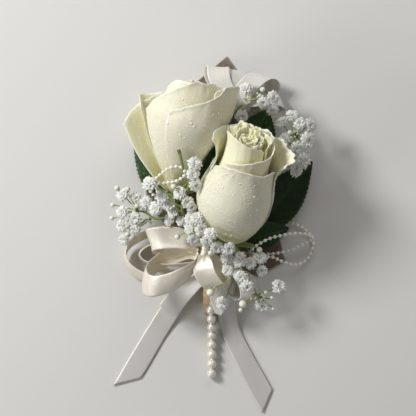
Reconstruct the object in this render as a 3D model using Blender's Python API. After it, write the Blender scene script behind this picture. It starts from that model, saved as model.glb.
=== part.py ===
"""Corsage of two roses, leaves, gypsophila, ribbons and bead strings, lying on a surface.

Blender 4.5, metres. The surface is z = 0, +Y runs from the handle to the top of the roses, and
+Z is up from the surface. The origin is on the flat underside of the backing ribbon. Points
below are written in millimetres.
"""

import math
import random

import bmesh
import bpy
from mathutils import Quaternion, Vector

MM = 0.001

# Ribbons
RIBBON_THICKNESS = 0.7
LOOP_STEPS = 9
BOW_STEPS = 12
BACKING_THICKNESS = 0.8

# Flowers and leaves
PETAL_THICKNESS = 0.8
SEPAL_THICKNESS = 0.8
HIP_LENGTH = 9.0
LEAF_THICKNESS = 0.8
LEAF_TEETH = 6
FLORET_RADIUS = 3.1
FLORET_LOBES = 5
BUD_RADIUS = 1.1
SPRAY_STEM_RADIUS = 0.4

# Beads
PEARL_RADIUS = 2.4
PEARL_PITCH = 4.62
PEARL_THREAD_RADIUS = 0.7
BEAD_RADIUS = 0.95
BEAD_PITCH = 2.6
BEAD_THREAD_RADIUS = 0.3

# Gap that every piece keeps to what carries it
SEAT = 0.3

SEED = 11


def clear_scene():
    """Remove every object, so that the script can be run in any file."""
    for obj in list(bpy.data.objects):
        bpy.data.objects.remove(obj, do_unlink=True)


def material(name, colour, roughness):
    """A plain Principled material."""
    made = bpy.data.materials.new(name)
    made.use_nodes = True
    shader = made.node_tree.nodes["Principled BSDF"]
    shader.inputs["Base Color"].default_value = (*colour, 1.0)
    shader.inputs["Roughness"].default_value = roughness
    shader.inputs["Metallic"].default_value = 0.0
    made.diffuse_color = (*colour, 1.0)
    return made


def point(x, y, z):
    """A point given in millimetres."""
    return Vector((x, y, z))


def smooth_path(points, steps):
    """Points of a Catmull-Rom curve through the given ones, with this many steps a stretch."""
    points = [Vector(p) for p in points]
    padded = [2 * points[0] - points[1], *points, 2 * points[-1] - points[-2]]
    path = []
    for a, b, c, d in zip(padded, padded[1:], padded[2:], padded[3:]):
        for step in range(steps):
            t = step / steps
            path.append(
                0.5
                * (
                    2 * b
                    + (c - a) * t
                    + (2 * a - 5 * b + 4 * c - d) * t**2
                    + (3 * b - a - 3 * c + d) * t**3
                )
            )
    path.append(points[-1])
    return path


def smoothstep(t):
    """0 below 0, 1 above 1, and an S curve between."""
    t = min(1.0, max(0.0, t))
    return t * t * (3 - 2 * t)


def outward(vertices, faces):
    """The same closed shape with its faces turned to point out."""
    volume = 0.0
    for face in faces:
        first = vertices[face[0]]
        for second, third in zip(face[1:], face[2:]):
            volume += first.dot(vertices[second].cross(vertices[third]))
    if volume < 0:
        faces = [tuple(reversed(face)) for face in faces]
    return vertices, faces


def blade(rows, thickness):
    """A closed thin shape round a grid of points, each row running across the blade."""
    count, width = len(rows), len(rows[0])
    normals = []
    for i in range(count):
        for j in range(width):
            along = rows[min(i + 1, count - 1)][j] - rows[max(i - 1, 0)][j]
            across = rows[i][min(j + 1, width - 1)] - rows[i][max(j - 1, 0)]
            normals.append(along.cross(across).normalized())
    middle = [p for row in rows for p in row]
    half = thickness / 2
    vertices = [p + n * half for p, n in zip(middle, normals)]
    vertices += [p - n * half for p, n in zip(middle, normals)]
    under = count * width
    faces = []
    for i in range(count - 1):
        for j in range(width - 1):
            a, b = i * width + j, i * width + j + 1
            c, d = a + width, b + width
            faces += [(a, b, d), (a, d, c)]
            faces += [(under + a, under + d, under + b), (under + a, under + c, under + d)]
    rim = [j for j in range(width)]
    rim += [i * width + width - 1 for i in range(1, count)]
    rim += [(count - 1) * width + j for j in range(width - 2, -1, -1)]
    rim += [i * width for i in range(count - 2, 0, -1)]
    for a, b in zip(rim, rim[1:] + rim[:1]):
        faces.append((b, a, under + a, under + b))
    return outward(vertices, faces)


def tube(path, radii, sides):
    """A closed tube along a path, with a radius for each of its points."""
    across = Vector((0, 0, 1))
    vertices = []
    for i, (centre, radius) in enumerate(zip(path, radii)):
        along = (path[min(i + 1, len(path) - 1)] - path[max(i - 1, 0)]).normalized()
        if abs(along.dot(across)) > 0.95:
            across = along.orthogonal()
        across = (across - along * across.dot(along)).normalized()
        beside = along.cross(across)
        for side in range(sides):
            angle = 2 * math.pi * side / sides
            spoke = across * math.cos(angle) + beside * math.sin(angle)
            vertices.append(centre + spoke * radius)
    faces = []
    for i in range(len(path) - 1):
        for side in range(sides):
            a = i * sides + side
            b = i * sides + (side + 1) % sides
            faces.append((a, b, b + sides, a + sides))
    faces.append(tuple(reversed(range(sides))))
    faces.append(tuple(range((len(path) - 1) * sides, len(path) * sides)))
    return outward(vertices, faces)


def even_tube(points, start_radius, end_radius, sides, steps):
    """A tube along the smooth curve through the points, its radius running evenly."""
    path = smooth_path(points, steps)
    last = len(path) - 1
    radii = [start_radius + (end_radius - start_radius) * i / last for i in range(last + 1)]
    return tube(path, radii, sides)


def lathe(profile, sides):
    """A closed turned shape about Z from (radius, height) pairs, both ends on the axis."""
    vertices = [Vector((0, 0, profile[0][1]))]
    for radius, height in profile[1:-1]:
        for side in range(sides):
            angle = 2 * math.pi * side / sides
            vertices.append(Vector((radius * math.cos(angle), radius * math.sin(angle), height)))
    vertices.append(Vector((0, 0, profile[-1][1])))
    faces = []
    last = len(vertices) - 1
    for side in range(sides):
        faces.append((0, 1 + (side + 1) % sides, 1 + side))
        faces.append((last, last - sides + side, last - sides + (side + 1) % sides))
    for ring in range(len(profile) - 3):
        for side in range(sides):
            a = 1 + ring * sides + side
            b = 1 + ring * sides + (side + 1) % sides
            faces.append((a, b, b + sides, a + sides))
    return outward(vertices, faces)


def moved(shape, centre, facing, turn=0.0):
    """The shape with its +Z turned to face a direction, and its origin put at a point."""
    vertices, faces = shape
    turned = facing.to_track_quat("Z", "Y") @ Quaternion((0, 0, 1), turn)
    return [turned @ vertex + centre for vertex in vertices], faces


def new_object(name, shape, finish):
    """An object from a shape in millimetres."""
    vertices, faces = shape
    mesh = bpy.data.meshes.new(name)
    mesh.from_pydata([vertex * MM for vertex in vertices], [], faces)
    if finish:
        mesh.materials.append(finish)
    obj = bpy.data.objects.new(name, mesh)
    bpy.context.scene.collection.objects.link(obj)
    return obj


def keep_largest_body(obj):
    """Drop what a union leaves apart: sealed hollows and loose scraps."""
    bm = bmesh.new()
    bm.from_mesh(obj.data)
    left = set(bm.verts)
    bodies = []
    while left:
        body = {left.pop()}
        edge = list(body)
        while edge:
            near = [e.other_vert(v) for v in edge for e in v.link_edges]
            edge = [v for v in set(near) if v not in body]
            body.update(edge)
        left -= body
        bodies.append(body)
    largest = max(bodies, key=len)
    bmesh.ops.delete(bm, geom=[v for v in bm.verts if v not in largest], context="VERTS")
    bm.to_mesh(obj.data)
    bm.free()


def fused(name, shapes, finish, solver="EXACT"):
    """One object from overlapping shapes, joined by a single Boolean union."""
    obj = new_object(name, shapes[0], finish)
    group = bpy.data.collections.new(name + "_repeats")
    bpy.context.scene.collection.children.link(group)
    for shape in shapes[1:]:
        helper = new_object(name + "_repeat", shape, None)
        bpy.context.scene.collection.objects.unlink(helper)
        group.objects.link(helper)
    join = obj.modifiers.new("Join", "BOOLEAN")
    join.operation = "UNION"
    join.operand_type = "COLLECTION"
    join.collection = group
    join.solver = solver
    bpy.context.view_layer.update()
    graph = bpy.context.evaluated_depsgraph_get()
    joined = bpy.data.meshes.new_from_object(obj.evaluated_get(graph))
    obj.modifiers.clear()
    obj.data = joined
    for helper in list(group.objects):
        bpy.data.objects.remove(helper, do_unlink=True)
    bpy.data.collections.remove(group)
    keep_largest_body(obj)
    return obj


def spread(values, share):
    """A smooth value at a share, 0 to 1, of the way along an evenly spaced list."""
    if not isinstance(values, tuple):
        return values
    place = min(max(share, 0.0), 1.0) * (len(values) - 1)
    i = min(int(place), len(values) - 2)
    t = place - i
    a, b = values[max(i - 1, 0)], values[i]
    c, d = values[i + 1], values[min(i + 2, len(values) - 1)]
    bend = (2 * a - 5 * b + 4 * c - d) * t**2 + (3 * b - a - 3 * c + d) * t**3
    return 0.5 * (2 * b + (c - a) * t + bend)


class Petal:
    """One petal, laid round the flower's body and bent away from it towards the rim.

    left and right are the angles of its side edges in degrees, from the base to the top, 0
    towards the front and growing to the right. heights and radii are the rim's height up the
    axis and its distance from it, from the left to the right. start is the share of its height
    where it grows out of the core. layer scales the body that the petal follows, late says how
    late the petal leaves it, wave and phase ruffle the rim, and roll bends the last of it out.
    """

    def __init__(self, left, right, heights, radii, **more):
        self.left = left
        self.right = right
        self.heights = heights
        self.radii = radii
        self.layer = more.get("layer", 1.0)
        self.start = more.get("start", 0.0)
        self.late = more.get("late", 3.0)
        self.wave = more.get("wave", 0.0)
        self.phase = more.get("phase", 0.0)
        self.roll = more.get("roll", 0.8)

    def surface(self, body, lean, s, t):
        """Point at s from the left side to the right, and t from the base to the rim, 0 to 1."""
        top = spread(self.heights, s)
        height = top * t
        followed = self.layer * body_radius(body, height)
        leave = spread(self.radii, s) - self.layer * body_radius(body, top)
        bend = max(0.0, (t - 0.75) / 0.25)
        ruffle = math.sin(self.phase + 9 * s) * bend**2
        radius = max(followed + leave * t**self.late, 1.0)
        radius += self.roll * bend**2 + self.wave * ruffle
        height -= 0.4 * abs(self.roll) * bend**2 - 0.5 * self.wave * ruffle
        left, right = spread(self.left, t), spread(self.right, t)
        angle = math.radians(left + (right - left) * s)
        shift = lean * math.sin(math.pi * min(1.0, height / body[-1][0])) * (1 - t**4)
        return Vector((radius * math.sin(angle) + shift, -radius * math.cos(angle), height))

    def shape(self, body, lean, up, step):
        """The petal as a closed blade, with this many steps up it, each about step degrees wide."""
        over = max(4, round(abs(spread(self.right, 0.5) - spread(self.left, 0.5)) / step))
        rows = []
        for i in range(up + 1):
            t = self.start + (1 - self.start) * (i / up) ** 1.25
            rows.append([self.surface(body, lean, j / over, t) for j in range(over + 1)])
        return blade(rows, PETAL_THICKNESS)


def body_radius(body, height):
    """The radius of a flower's body at a height, from its (height, radius) pairs."""
    for (low, start), (high, end) in zip(body, body[1:]):
        if height <= high:
            t = (height - low) / (high - low)
            return start + (end - start) * t
    return body[-1][1]


# The large rose is seen from its side: a cone of petals, one wrapped over the front, and one
# folded out at the left. body is its outline as heights and radii, lean shifts its middle.
UPPER_ROSE = {
    "place": point(-19.0, 21.5, 17.0),
    "elevation": 20,
    "heading": 12.7,
    "body": ((0, 2.6), (4, 4.8), (11, 8.0), (20, 12.4), (31, 17.2), (42, 20.2), (52, 19.6), (62, 17.5)),
    "lean": -3.0,
    "core": ((4.0, 3.8), (12.0, 7.4), (24.0, 12.0), (36.0, 13.8), (46.0, 9.0), (54.0, 3.0)),
    "petals": [
        Petal((-8, -12, -19, -25, -29), (42, 50, 53, 48, 54), (48.5, 53.0, 56.6, 60.6, 65.0),
              (21.4, 21.0, 20.6, 19.0, 16.6), layer=1.1),
        Petal((-48, -64, -72, -78), 64, (42.8, 50.4, 56.4, 60.6, 64.0, 63.0, 63.2, 62.4, 59.5),
              (22.6, 20.6, 18.8, 16.4, 14.0, 12.0, 10.6, 10.6, 11.0), layer=0.96, roll=0.4),
        Petal((-66, -80, -87, -90), -150, (31.0, 39.5, 43.5, 44.5, 40.0),
              (31.0, 27.0, 22.5, 21.0, 20.0), layer=1.04, late=0.58, roll=1.2),
        Petal(-92, -176, (40.6, 42.6, 43.6, 43.2, 45.6, 45.4, 45.0, 44.5, 44.0),
              (24.5, 27.0, 29.2, 26.0, 22.5, 21.5, 20.5, 20.0, 19.5), layer=1.02),
        Petal(30, 128, (62.0, 63.5, 63.0, 58.0, 52.0), (16.5, 17.4, 18.6, 19.6, 20.0), roll=0.5),
        Petal(118, 216, (54.0, 53.0, 51.0, 49.5, 47.0), (17.5, 18.0, 18.0, 18.6, 19.5), wave=0.5),
        Petal(-100, -8, (52.0, 58.0, 60.5, 61.0, 59.5), (14.0, 11.5, 9.5, 7.6, 7.0), layer=0.72, start=0.35),
        Petal(24, 160, (57.0, 61.0, 59.0, 55.5, 53.0), (7.5, 8.5, 11.0, 12.5, 12.5), layer=0.72, start=0.35),
        Petal(156, 276, (52.5, 54.0, 54.0, 53.0, 52.0), (9.5, 10.0, 10.0, 10.5, 11.0), layer=0.6, start=0.4),
        Petal(-70, 90, (57.0, 59.0, 59.0, 57.0), (4.5, 4.4, 4.2, 4.5), layer=0.45, start=0.6),
        Petal(110, 260, (55.0, 57.0, 57.0, 55.0), (4.6, 4.4, 4.4, 4.8), layer=0.42, start=0.6),
    ],
}

# The lower rose shows its open centre. One petal folds out right and one curls out left.
LOWER_ROSE = {
    "place": point(9.7, -2.8, 17.0),
    "elevation": 35,
    "heading": 9.4,
    "body": ((0, 2.6), (2, 5.4), (5, 8.8), (12, 14.0), (20, 17.6), (28, 18.6), (36, 17.2), (46, 14.8),
             (56, 14.2)),
    "lean": -3.1,
    "core": ((3.0, 5.4), (12.0, 12.0), (28.0, 14.8), (42.0, 11.0), (52.0, 6.4), (58.0, 3.0)),
    "petals": [
        Petal((-104, -104, -98, -78), (92, 92, 88, 76), (46.5, 52.0, 53.0, 50.3, 49.5),
              (13.8, 14.3, 14.6, 14.3, 13.8)),
        Petal((76, 80, 78, 76), 142, (53.5, 54.8, 57.2, 56.6, 57.0),
              (19.0, 21.0, 20.4, 18.2, 15.4), late=6.0, wave=0.9, roll=1.0),
        Petal((-92, -90, -84, -84), -166, (61.0, 61.5, 61.0, 60.5, 59.5),
              (17.0, 16.8, 15.8, 14.8, 14.0), layer=0.88, late=6.0, roll=0.8),
        Petal(78, 170, (46.0, 49.0, 51.0, 51.0), (14.4, 16.0, 16.4, 16.0), layer=1.03, roll=1.5),
        Petal(-185, -95, (50.0, 49.0, 45.0, 38.0), (15.6, 15.8, 15.8, 16.4), layer=1.02, roll=1.0),
        Petal(116, 236, (59.0, 61.0, 61.3, 62.3, 60.0), (13.2, 13.2, 13.0, 13.0, 13.2), wave=0.6, start=0.2,
              layer=0.92),
        Petal((-50, -50, -45), 108, (53.5, 55.4, 57.4, 58.2, 59.6),
              (12.4, 12.0, 11.9, 11.8, 12.0), layer=0.82, start=0.4, roll=0.5),
        Petal(-98, 62, (64.6, 66.0, 64.5, 62.0, 60.0), (10.4, 9.4, 8.6, 8.0, 7.8), layer=0.72, start=0.45,
              roll=0.2),
        Petal(74, 236, (60.5, 63.0, 63.5, 64.0, 64.0), (8.4, 9.0, 9.2, 9.4, 9.8), layer=0.68, start=0.5,
              wave=0.8, roll=0.3),
        Petal(-70, 90, (64.0, 63.0, 61.5, 62.0), (6.2, 5.8, 5.2, 5.2), layer=0.45, start=0.65,
              wave=0.6, roll=0.2),
        Petal(100, 275, (62.0, 64.5, 64.0, 63.5), (5.8, 6.2, 6.2, 6.6), layer=0.48, start=0.65, wave=0.6,
              phase=2, roll=0.2),
        Petal(-30, 200, (61.5, 63.5, 62.0), (2.6, 3.0, 2.4), layer=0.2, start=0.8, wave=0.4, roll=0.2),
    ],
}

PETAL_STEPS_UP = 4
PETAL_STEP_DEGREES = 28


def rose_axis(rose):
    """The direction from the rose's base to its centre."""
    elevation = math.radians(rose["elevation"])
    heading = math.radians(rose["heading"])
    flat = math.cos(elevation)
    return Vector((flat * math.sin(heading), flat * math.cos(heading), math.sin(elevation)))


def lay_rose(obj, rose):
    """Turn an object built about +Z, with its front at -Y, to the rose's place."""
    obj.location = rose["place"] * MM
    tilt = math.radians(rose["elevation"] - 90)
    obj.rotation_euler = (tilt, 0.0, math.radians(-rose["heading"]))


def rose_petals(name, rose, finish):
    """All petals of one rose, fused on a bud-shaped core that they stand out of."""
    profile = [(0.0, 0.4), (3.2, 0.4)]
    profile += [(radius, height) for height, radius in rose["core"]]
    profile.append((0.0, rose["core"][-1][0]))
    shapes = [lathe(profile, 10)]
    for petal in rose["petals"]:
        shapes.append(petal.shape(rose["body"], rose["lean"], PETAL_STEPS_UP, PETAL_STEP_DEGREES))
    obj = fused(name, shapes, finish)
    lay_rose(obj, rose)
    return obj


def sepal(at, out, lift, width):
    """A pointed sepal that leaves the top of the hip and bends out."""
    turn = math.radians(at)
    rows = []
    steps = 5
    for i in range(steps + 1):
        t = i / steps
        radius = 2.2 + (out - 2.2) * math.sin(math.pi / 2 * t)
        height = -1.6 + lift * t
        half = 0.25 + width / 2 * math.sin(math.pi * min(1.0, 0.22 + 0.78 * t)) ** 0.8
        row = []
        for side in (-1, 0, 1):
            x = radius * math.sin(turn) + side * half * math.cos(turn)
            y = side * half * math.sin(turn) - radius * math.cos(turn)
            row.append(Vector((x, y, height + 0.16 * half * abs(side))))
        rows.append(row)
    return blade(rows, SEPAL_THICKNESS)


def rose_calyx(name, rose, sepals, finish):
    """The green hip under a rose, with its sepals and the top of its stem."""
    hip = lathe(
        [
            (0.0, -HIP_LENGTH),
            (1.5, -HIP_LENGTH),
            (1.7, -7.2),
            (3.2, -4.6),
            (3.5, -2.6),
            (2.9, -0.8),
            (0.0, -0.8),
        ],
        8,
    )
    shapes = [hip]
    for values in sepals:
        shapes.append(sepal(*values))
    obj = fused(name, shapes, finish)
    lay_rose(obj, rose)
    return obj


# Sepals: angle round the hip, how far out and how far up they reach, and width
UPPER_SEPALS = [
    (22, 17.0, 17.0, 5.0),
    (-70, 12.8, 6.6, 4.0),
    (100, 11.0, 7.0, 4.0),
    (165, 8.2, 8.0, 3.4),
    (-125, 9.0, 8.0, 3.6),
]
LOWER_SEPALS = [
    (-64, 21.5, 13.0, 4.6),
    (16, 11.5, 1.0, 4.0),
    (84, 11.5, 1.0, 4.0),
    (150, 8.0, 0.5, 3.6),
    (-140, 8.0, 0.5, 3.6),
]


def leaf(name, base, tip, width, arch, roll, finish):
    """A toothed rose leaf from its base to its tip, folded a little along the midrib."""
    base, tip = Vector(base), Vector(tip)
    along = (tip - base).normalized()
    across = along.cross(Vector((0, 0, 1))).normalized()
    up = across.cross(along)
    tilt = math.radians(roll)
    side_way = across * math.cos(tilt) + up * math.sin(tilt)
    lift_way = up * math.cos(tilt) - across * math.sin(tilt)
    steps = 2 * LEAF_TEETH
    rows = []
    for i in range(steps + 1):
        t = i / steps
        middle = base + (tip - base) * t + up * arch * math.sin(math.pi * t)
        outline = math.sin(math.pi * t**0.8) ** 0.75 * (1 - 0.35 * t**4) if 0 < t < 1 else 0.0
        half = 0.5 + width / 2 * outline
        tooth = 0.0 if i % 2 else min(1.1, 0.14 * half)
        row = []
        for side in (-1, 0, 1):
            wide = side * (half + tooth)
            row.append(middle + side_way * wide + lift_way * 0.16 * abs(wide) + along * tooth * abs(side))
        rows.append(row)
    return new_object(name, blade(rows, LEAF_THICKNESS), finish)


def floret(radius):
    """A double gypsophila bloom: a ring of lobes, a raised ring in it and a pointed back."""
    points = 2 * FLORET_LOBES
    vertices = [Vector((0, 0, -0.75 * radius)), Vector((0, 0, 0.5 * radius))]
    for i in range(points):
        angle = math.pi * i / FLORET_LOBES
        lobe = i % 2 == 0
        far = radius if lobe else 0.62 * radius
        height = 0.0 if lobe else 0.3 * radius
        vertices.append(Vector((far * math.cos(angle), far * math.sin(angle), height)))
    faces = []
    for i in range(points):
        here, after = 2 + i, 2 + (i + 1) % points
        faces.append((0, after, here))
        faces.append((1, here, after))
    return outward(vertices, faces)


def bud(radius):
    """A closed bud on its stem end."""
    outline = [(0.0, -1.3), (1.0, -0.1), (0.5, 1.0), (0.0, 1.2)]
    return lathe([(far * radius, height * radius) for far, height in outline], 5)


def spray(name, stalk, florets, buds, draws, finish):
    """A gypsophila spray: a stalk, a stem from it to each bloom and bud, all fused."""
    line = smooth_path(stalk, 4)
    shapes = [even_tube(stalk, 0.75, 0.5, 5, 2)]
    for x, y, z, size in florets + buds:
        centre = point(x, y, z)
        is_bud = (x, y, z, size) in buds
        fork = min(line[:-1], key=lambda p: (p - centre).length + 0.35 * (p - line[0]).length)
        reach = centre - fork
        facing = (reach.normalized() * 0.7 + Vector((0, 0, 1))).normalized()
        facing += Vector([draws.uniform(-0.25, 0.25) for _ in range(3)])
        facing.normalize()
        radius = BUD_RADIUS * size if is_bud else FLORET_RADIUS * size
        made = bud(radius) if is_bud else floret(radius)
        stem_end = centre - facing * radius * 0.35
        shapes.append(even_tube([fork, stem_end], SPRAY_STEM_RADIUS, SPRAY_STEM_RADIUS, 3, 1))
        shapes.append(moved(made, centre, facing, draws.uniform(0, math.pi)))
    return fused(name, shapes, finish)


def loop_rows(root, tip, bulge, width, gather, steps, sway=(0.0, 0.0, 0.0)):
    """Rows of a ribbon loop that leaves its root, rounds its tip and comes back.

    bulge is half the loop's depth, width is the ribbon's own width as a vector, and gather is
    the share of it that is left at the root. sway bends the loop sideways in its middle.
    """
    root, tip, bulge, width, sway = (Vector(v) for v in (root, tip, bulge, width, sway))
    rows = []
    for i in range(steps + 1):
        angle = 2 * math.pi * (0.03 + 0.94 * i / steps)
        share = (1 - math.cos(angle)) / 2
        centre = root + (tip - root) * share + bulge * math.sin(angle) + sway * (4 * share * (1 - share))
        half = width / 2 * (gather + (1 - gather) * smoothstep(share / 0.4))
        rows.append([centre - half, centre + half])
    return rows


def strip_rows(stations, steps):
    """Rows of a ribbon from pairs of edge points, joined by smooth curves."""
    left = smooth_path([a for a, b in stations], steps)
    right = smooth_path([b for a, b in stations], steps)
    return [[a, b] for a, b in zip(left, right)]


def ribbon(rows):
    """A closed ribbon from its rows."""
    return blade(rows, RIBBON_THICKNESS)


def satin_bow(finish):
    """Five loops and the knot that gathers them."""
    knot_centre = point(-4.0, -8.0, 14.3)
    # Each loop: root, tip, bulge, width and the share of the width left at the root
    outline = [(0.0, -5.0), (2.6, -5.0), (3.9, -2.4), (3.6, 0.0), (3.9, 2.4), (2.6, 5.0), (0.0, 5.0)]
    knot = lathe(outline, 8)
    loops = [
        ((-5.0, -9.0, 12.8), (-44.2, -11.2, 6.4), (0.0, 12.3, 0.0), (0.4, 4.4, 9.3), 0.35),
        ((-5.0, -9.0, 13.0), (-37.0, -10.0, 6.2), (0.0, 5.6, 0.0), (0.2, 0.6, 10.2), 0.35),
        ((-6.0, -4.0, 15.8), (-32.4, -3.2, 15.0), (0.4, 2.2, 4.2), (-3.2, 10.8, 1.0), 0.5),
        ((-8.0, -11.4, 18.6), (-34.4, -22.6, 21.5), (0.4, -6.3, 8.7), (-2.2, -10.6, -3.6), 0.6),
        ((-3.0, -9.5, 20.0), (1.6, -25.6, 22.6), (-4.0, 0.5, 4.8), (-10.2, -2.4, -1.5), 0.6),
    ]
    shapes = [moved(knot, knot_centre, Vector((0.3, 1.0, 0.1)))]
    for values in loops:
        shapes.append(ribbon(loop_rows(*values, BOW_STEPS)))
    return fused("satin_bow", shapes, finish)


def satin_tails(finish):
    """The two long tails, which come down off the handle and lie on the surface."""
    left = [
        ((-8.4, -13.6, 7.0), (-1.4, -21.4, 10.9)),
        ((-13.5, -19.0, 6.3), (-6.0, -26.4, 8.6)),
        ((-20.5, -27.0, 5.2), (-12.6, -34.0, 6.0)),
        ((-26.2, -34.0, 3.2), (-17.8, -40.9, 3.0)),
        ((-27.2, -37.2, 2.0), (-18.4, -42.2, 2.0)),
        ((-33.5, -47.5, 0.5), (-24.6, -52.5, 0.5)),
        ((-42.0, -61.6, 0.5), (-32.0, -65.2, 0.5)),
        ((-50.6, -76.4, 0.5), (-36.5, -72.6, 0.5)),
    ]
    right = [
        ((0.8, -19.0, 10.8), (10.0, -17.5, 10.2)),
        ((1.2, -30.0, 9.6), (10.4, -29.0, 8.4)),
        ((2.5, -41.0, 4.6), (11.6, -39.5, 4.2)),
        ((5.2, -51.5, 0.9), (14.0, -48.6, 0.9)),
        ((10.0, -61.8, 0.5), (21.2, -62.5, 0.5)),
        ((16.8, -75.5, 0.5), (26.6, -72.0, 0.5)),
        ((25.2, -90.4, 0.5), (30.0, -78.4, 0.5)),
    ]
    new_object("satin_tail_left", ribbon(strip_rows(left, 3)), finish)
    new_object("satin_tail_right", ribbon(strip_rows(right, 3)), finish)


def organza(finish):
    """Four sheer loops at the top, and a loop and a pointed end below the bow."""
    top_tie = point(15.5, 62.0, 7.6)
    top = [
        loop_rows(
            top_tie, (2.4, 85.0, 8.0), (1.2, -1.0, 4.4), (11.4, -0.6, 0.6), 0.6, LOOP_STEPS, (-4.8, 1.4, 0.0)
        ),
        loop_rows(top_tie, (12.2, 83.2, 7.6), (1.4, -0.2, 3.6), (8.6, -1.8, -3.2), 0.5, LOOP_STEPS),
        loop_rows(top_tie, (27.6, 80.0, 9.6), (-5.0, 2.4, 5.0), (9.2, -4.0, 2.0), 0.6, LOOP_STEPS),
        loop_rows(top_tie, (35.8, 64.5, 6.4), (0.5, 5.2, 1.6), (1.6, -6.0, 7.0), 0.4, LOOP_STEPS),
    ]
    tie = lathe([(0.0, -3.0), (1.8, -3.0), (2.2, 0.0), (1.8, 3.0), (0.0, 3.0)], 6)
    shapes = [moved(tie, top_tie, Vector((0.2, 1.0, 0.0)))]
    for rows in top:
        shapes.append(ribbon(rows))
    fused("organza_top", shapes, finish)
    low_tie = point(8.5, -16.5, 14.8)
    end = [
        ((6.6, -17.5, 13.8), (12.0, -18.5, 13.0)),
        ((1.6, -24.0, 12.9), (11.6, -25.0, 12.8)),
        ((-1.5, -31.5, 13.0), (9.0, -33.5, 12.6)),
        ((1.2, -39.5, 13.4), (4.0, -40.6, 13.0)),
    ]
    low = [
        ribbon(strip_rows(end, 3)),
        ribbon(loop_rows(low_tie, (17.6, -32.0, 15.2), (3.0, 2.0, 3.2), (9.6, 0.6, -2.0), 0.4, LOOP_STEPS)),
    ]
    fused("organza_low", [moved(tie, low_tie, Vector((-0.4, 1.0, 0.0))), *low], finish)


def backing_ribbon(finish):
    """The flat taupe ribbon under everything: ends at the top, the left and the lower right."""
    outline = [
        (-34.8, 27.6),
        (-33.0, 16.0),
        (-20.0, 0.0),
        (-6.0, -12.0),
        (22.5, -21.3),
        (36.6, -13.6),
        (34.0, -2.8),
        (18.0, 6.0),
        (15.0, 40.0),
        (19.0, 73.5),
        (7.0, 90.2),
        (-8.8, 77.0),
        (-11.0, 40.0),
        (-24.0, 31.0),
    ]
    count = len(outline)
    vertices = [Vector((x, y, 0.0)) for x, y in outline]
    vertices += [Vector((x, y, BACKING_THICKNESS)) for x, y in outline]
    faces = [tuple(range(count)), tuple(reversed(range(count, 2 * count)))]
    for i in range(count):
        j = (i + 1) % count
        faces.append((i, count + i, count + j, j))
    return new_object("backing_ribbon", outward(vertices, faces), finish)


# The handle's centre line with its radius at each point
HANDLE = [
    ((-1.6, -45.4, 1.9), 0.9),
    ((-1.6, -42.0, 2.9), 1.9),
    ((-1.3, -34.0, 4.8), 3.6),
    ((-0.8, -22.0, 5.5), 4.4),
    ((-0.4, -10.0, 5.6), 4.4),
    ((0.0, -4.0, 6.0), 3.6),
]

# Routes of the taped wires that run from the handle to the leaves, sprays and ribbon loops
THIN_WIRES = [
    [(0, -8, 6), (-10, 4, 6.5), (-16.6, 14.4, 8.8)],
    [(0, -8, 6), (-1, 8, 5.5), (-1, 17.0, 6.4)],
    [(0, -8, 6), (8, 14, 6.5), (13.4, 30, 8.0), (15.2, 34.8, 8.9)],
    [(0, -10, 5), (12, -4, 4), (21.2, 1.4, 3.5)],
    [(0, -8, 6), (8, -4.8, 6.4), (13.2, -3.6, 6.7)],
    [(0, -8, 7), (-8, 0, 9), (-17, 6, 12), (-23.2, 8.3, 13.4)],
    [(-2, -6, 7), (-9, 0, 8.5), (-12, 5.4, 13.2)],
    [(0, -8, 7), (-2, -1, 9.5), (-3.9, 1.8, 13.2)],
    [(0, -12, 6), (8, -14, 8.5), (13.7, -13.1, 13.2)],
    [(0, -8, 6), (10, 8, 6), (22, 20, 8.5), (27.4, 25.3, 9.8)],
    [(0, -8, 6), (7, 14, 6), (7.2, 34, 8), (7.0, 45.2, 9.8)],
    [(0, -8, 6), (9, 14, 4), (12, 40, 4.3), (14.8, 58.4, 5.4)],
    [(0, -14, 7), (5, -16, 10), (7.6, -15.6, 12.2)],
    [(0, -12, 6), (9, -9.5, 6.6), (17, -8.8, 8.4)],
]


def taped_stems(finish):
    """The wrapped handle and the taped wires that run from it to every piece."""
    shapes = [tube([Vector(p) for p, r in HANDLE], [r for p, r in HANDLE], 10)]
    upper_way, lower_way = rose_axis(UPPER_ROSE), rose_axis(LOWER_ROSE)
    upper_end = UPPER_ROSE["place"] - upper_way * (HIP_LENGTH + SEAT)
    lower_end = LOWER_ROSE["place"] - lower_way * (HIP_LENGTH + SEAT)
    rose_wires = [
        [(0, -12, 6), (-8, -4, 5), (-15, 3, 6.4), upper_end - upper_way * 6, upper_end - upper_way * 3],
        [(0, -14, 6), (4, -14, 7.5), lower_end - lower_way * 3],
    ]
    rose_wires[0].append(upper_end)
    rose_wires[1].append(lower_end)
    for points in rose_wires:
        shapes.append(even_tube(points, 1.7, 1.5, 6, 2))
    for points in THIN_WIRES:
        shapes.append(even_tube(points, 1.0, 0.7, 4, 2))
    return fused("taped_stems", shapes, finish)


# Outlines of a bead, as offsets along the thread and radii, both in bead radii
ROUND_BEAD = ((-0.95, 0.0), (-0.55, 0.84), (0.0, 1.0), (0.55, 0.84), (0.95, 0.0))
SMALL_BEAD = ((-0.95, 0.0), (0.0, 1.1), (0.95, 0.0))


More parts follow.
